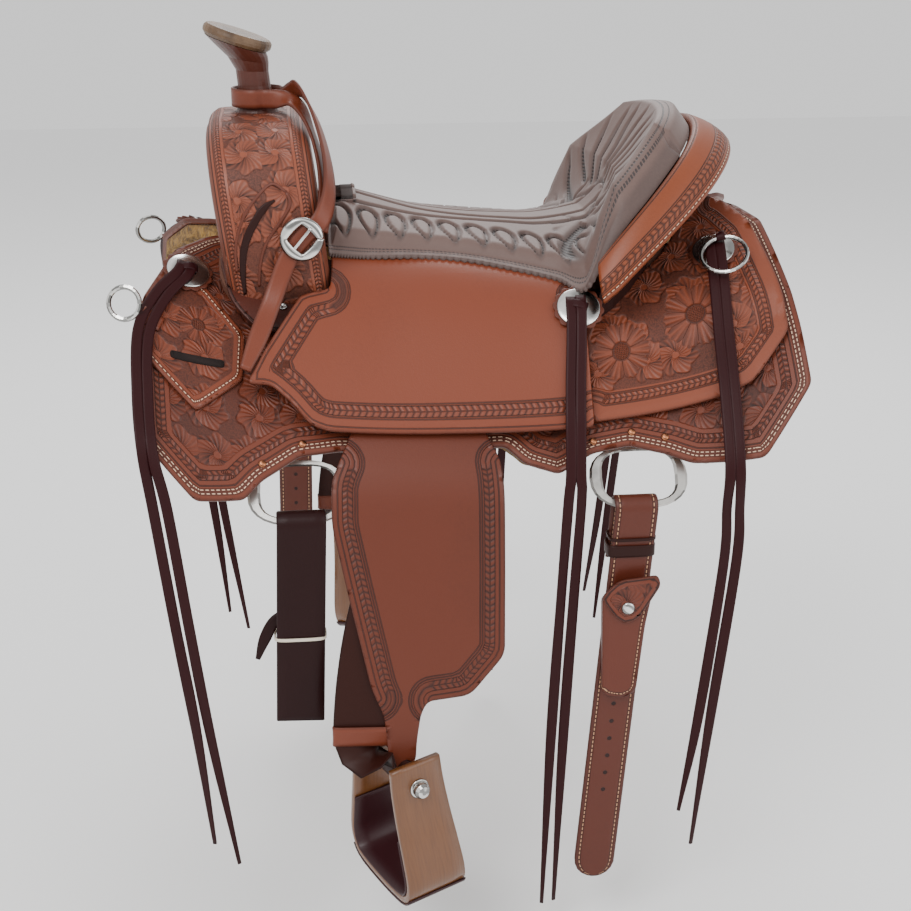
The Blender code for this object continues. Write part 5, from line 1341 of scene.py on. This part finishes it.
def buckle_spot(i, j):
    """A round plate with a square hole in it."""
    a = 2 * math.pi * i / 64
    u = Vector((0, 0, 1)).cross(BUCKLE_N).normalized()
    v = BUCKLE_N.cross(u)
    hole = 0.0115 / max(abs(math.cos(a + math.pi / 4)), abs(math.sin(a + math.pi / 4))) ** 0.8
    ring = [(0.0225, 0.0), (0.0228, 0.0012), (0.0205, 0.0034), (hole + 0.0015, 0.0030), (hole, 0.0014),
            (hole, 0)]
    r, h = ring[j]
    return BUCKLE_C + (u * math.cos(a) + v * math.sin(a)) * r + BUCKLE_N * h, (0, 0), 0, 0, 0


grid("buckle_plate", 65, 6, buckle_spot, SILVER, "saddle", "polished_steel", ("rope_strap_buckle",),
     closed=True)
BAR_END = Vector((0.010, 0.0, 0.012))
ribbon("buckle_bar", [BUCKLE_C - BAR_END + BUCKLE_N * 0.0015, BUCKLE_C + BUCKLE_N * 0.0020,
                      BUCKLE_C + BAR_END + BUCKLE_N * 0.0015],
       [BUCKLE_N] * 3, 0.0030, 0.0022, SILVER, "saddle", "polished_steel")

# %% [markdown]
# ## Conchos, rosettes and ring tabs

# %% Conchos
CONCHO = [(0.0, 0.0225), (0.0008, 0.0230), (0.0014, 0.0226), (0.0018, 0.0218), (0.0030, 0.0150),
          (0.0038, 0.0085), (0.0040, 0.0030)]
ROSETTE = [(0, 0.0270), (0.0016, 0.0275), (0.0019, 0.0262), (0.0019, 0.010)]
# (x, s, n) along the leather tab that holds the breast ring.
RING_TAB = [(-0.3200, 0.1925, 0.0300), (-0.3280, 0.1915, 0.0300), (-0.3385, 0.190, 0.0330),
            (-0.3415, 0.190, 0.0300), (-0.3385, 0.190, 0.0262), (-0.3200, 0.192, 0.0262)]
RING_LOOP = [(0.2735, 0.096, 0.052), (0.2755, 0.0995, 0.0640), (0.2765, 0.1060, 0.0600)]
for word, side in SIDES:
    spots = {"front": (side_point(-0.2945, 0.112, 0.0299, side), side_normal(-0.2945, 0.112, side)),
             "rear": (side_point(0.2715, 0.103, 0.0445, side), side_normal(0.2715, 0.103, side)),
             "middle": seat_spot(0.1120, 0.180, 0.0022, side)}
    for kind, (p, n) in spots.items():
        lathe(f"concho_plate_{kind}_{word}", p, n, CONCHO, SILVER, "saddle", "polished_steel",
              (f"concho_{kind}_{word}",), count=72)
        lathe(f"rosette_{kind}_{word}", p - n * 0.0018, n, ROSETTE, STRAP, "saddle", "dark_leather",
              count=96, lobes=14, depth=0.10)
        t = Vector((0.25, 0, 1)).cross(n).normalized()
        knot = [p + t * d + n * (0.0050 + 0.0035 * math.cos(d * 180))
                for d in (-0.0085, -0.0045, 0, 0.0045, 0.0085)]
        ribbon(f"knot_{kind}_{word}", knot, [n] * 5, 0.0095, 0.0030, LACE, "saddle", "dark_leather",
               step=0.002)
    n = side_normal(-0.32, 0.19, side)
    ribbon(f"ring_tab_{word}", [side_point(*at, side) for at in RING_TAB],
           [n] * 3 + [(-1, 0, 0)] + [-n] * 2, 0.018, 0.0022, STRAP, "saddle", "tan_leather")
    n = side_normal(0.27, 0.11, side)
    ribbon(f"ring_loop_{word}", [side_point(*at, side) for at in RING_LOOP], [n] * 3, 0.010, 0.002,
           LACE, "saddle", "dark_leather")

# %% [markdown]
# ## Parts that keep their CAD shape

# %% Finish for CAD nodes
FINISHES = [("rigging_dee", NICKEL), ("breast_ring", SILVER), ("rear_ring", SILVER),
            ("stirrup_bolt", SILVER), ("horn_cap", RAWHIDE), ("horn_wrap", HORN), ("tree", WOOD_TREE),
            ("ground_seat", WOOD_TREE), ("cantle_back", DARK)]
for name, node in NODES.items():
    for start, mat in FINISHES:
        if name.startswith(start):
            for s in node.material_slots:
                s.material = mat

# %% [markdown]
# ## Floor and light

# %% Stage
FLOOR_Z = -0.72
bm = bmesh.new()
bmesh.ops.create_grid(bm, x_segments=1, y_segments=1, size=6.0)
bmesh.ops.translate(bm, verts=bm.verts[:], vec=(0, 0, FLOOR_Z))
mesh = bpy.data.meshes.new("floor")
bm.to_mesh(mesh)
bm.free()
floor = bpy.data.objects.new("floor", mesh)
floor_mat, _, floor_shader = new_material("floor", 0.9)
floor_shader.inputs["Base Color"].default_value = (0.9, 0.9, 0.9, 1)
floor.data.materials.append(floor_mat)
bpy.context.collection.objects.link(floor)

world = bpy.data.worlds.new("studio")
world.use_nodes = True
world.node_tree.nodes["Background"].inputs["Color"].default_value = (1, 1, 1, 1)
world.node_tree.nodes["Background"].inputs["Strength"].default_value = 1.0
bpy.context.scene.world = world
LIGHTS = [("key", (-1.4, -2.2, 2.2), 70, 1.6), ("fill", (2.2, -1.6, 1.2), 28, 2.0),
          ("back", (0.3, 2.2, 2.0), 45, 1.5)]
for name, place, power, size in LIGHTS:
    data = bpy.data.lights.new(name, "AREA")
    data.energy, data.size = power, size
    lamp = bpy.data.objects.new(name, data)
    lamp.location = place
    lamp.rotation_euler = (Vector((0, 0, -0.15)) - Vector(place)).to_track_quat("-Z", "Y").to_euler()
    bpy.context.collection.objects.link(lamp)
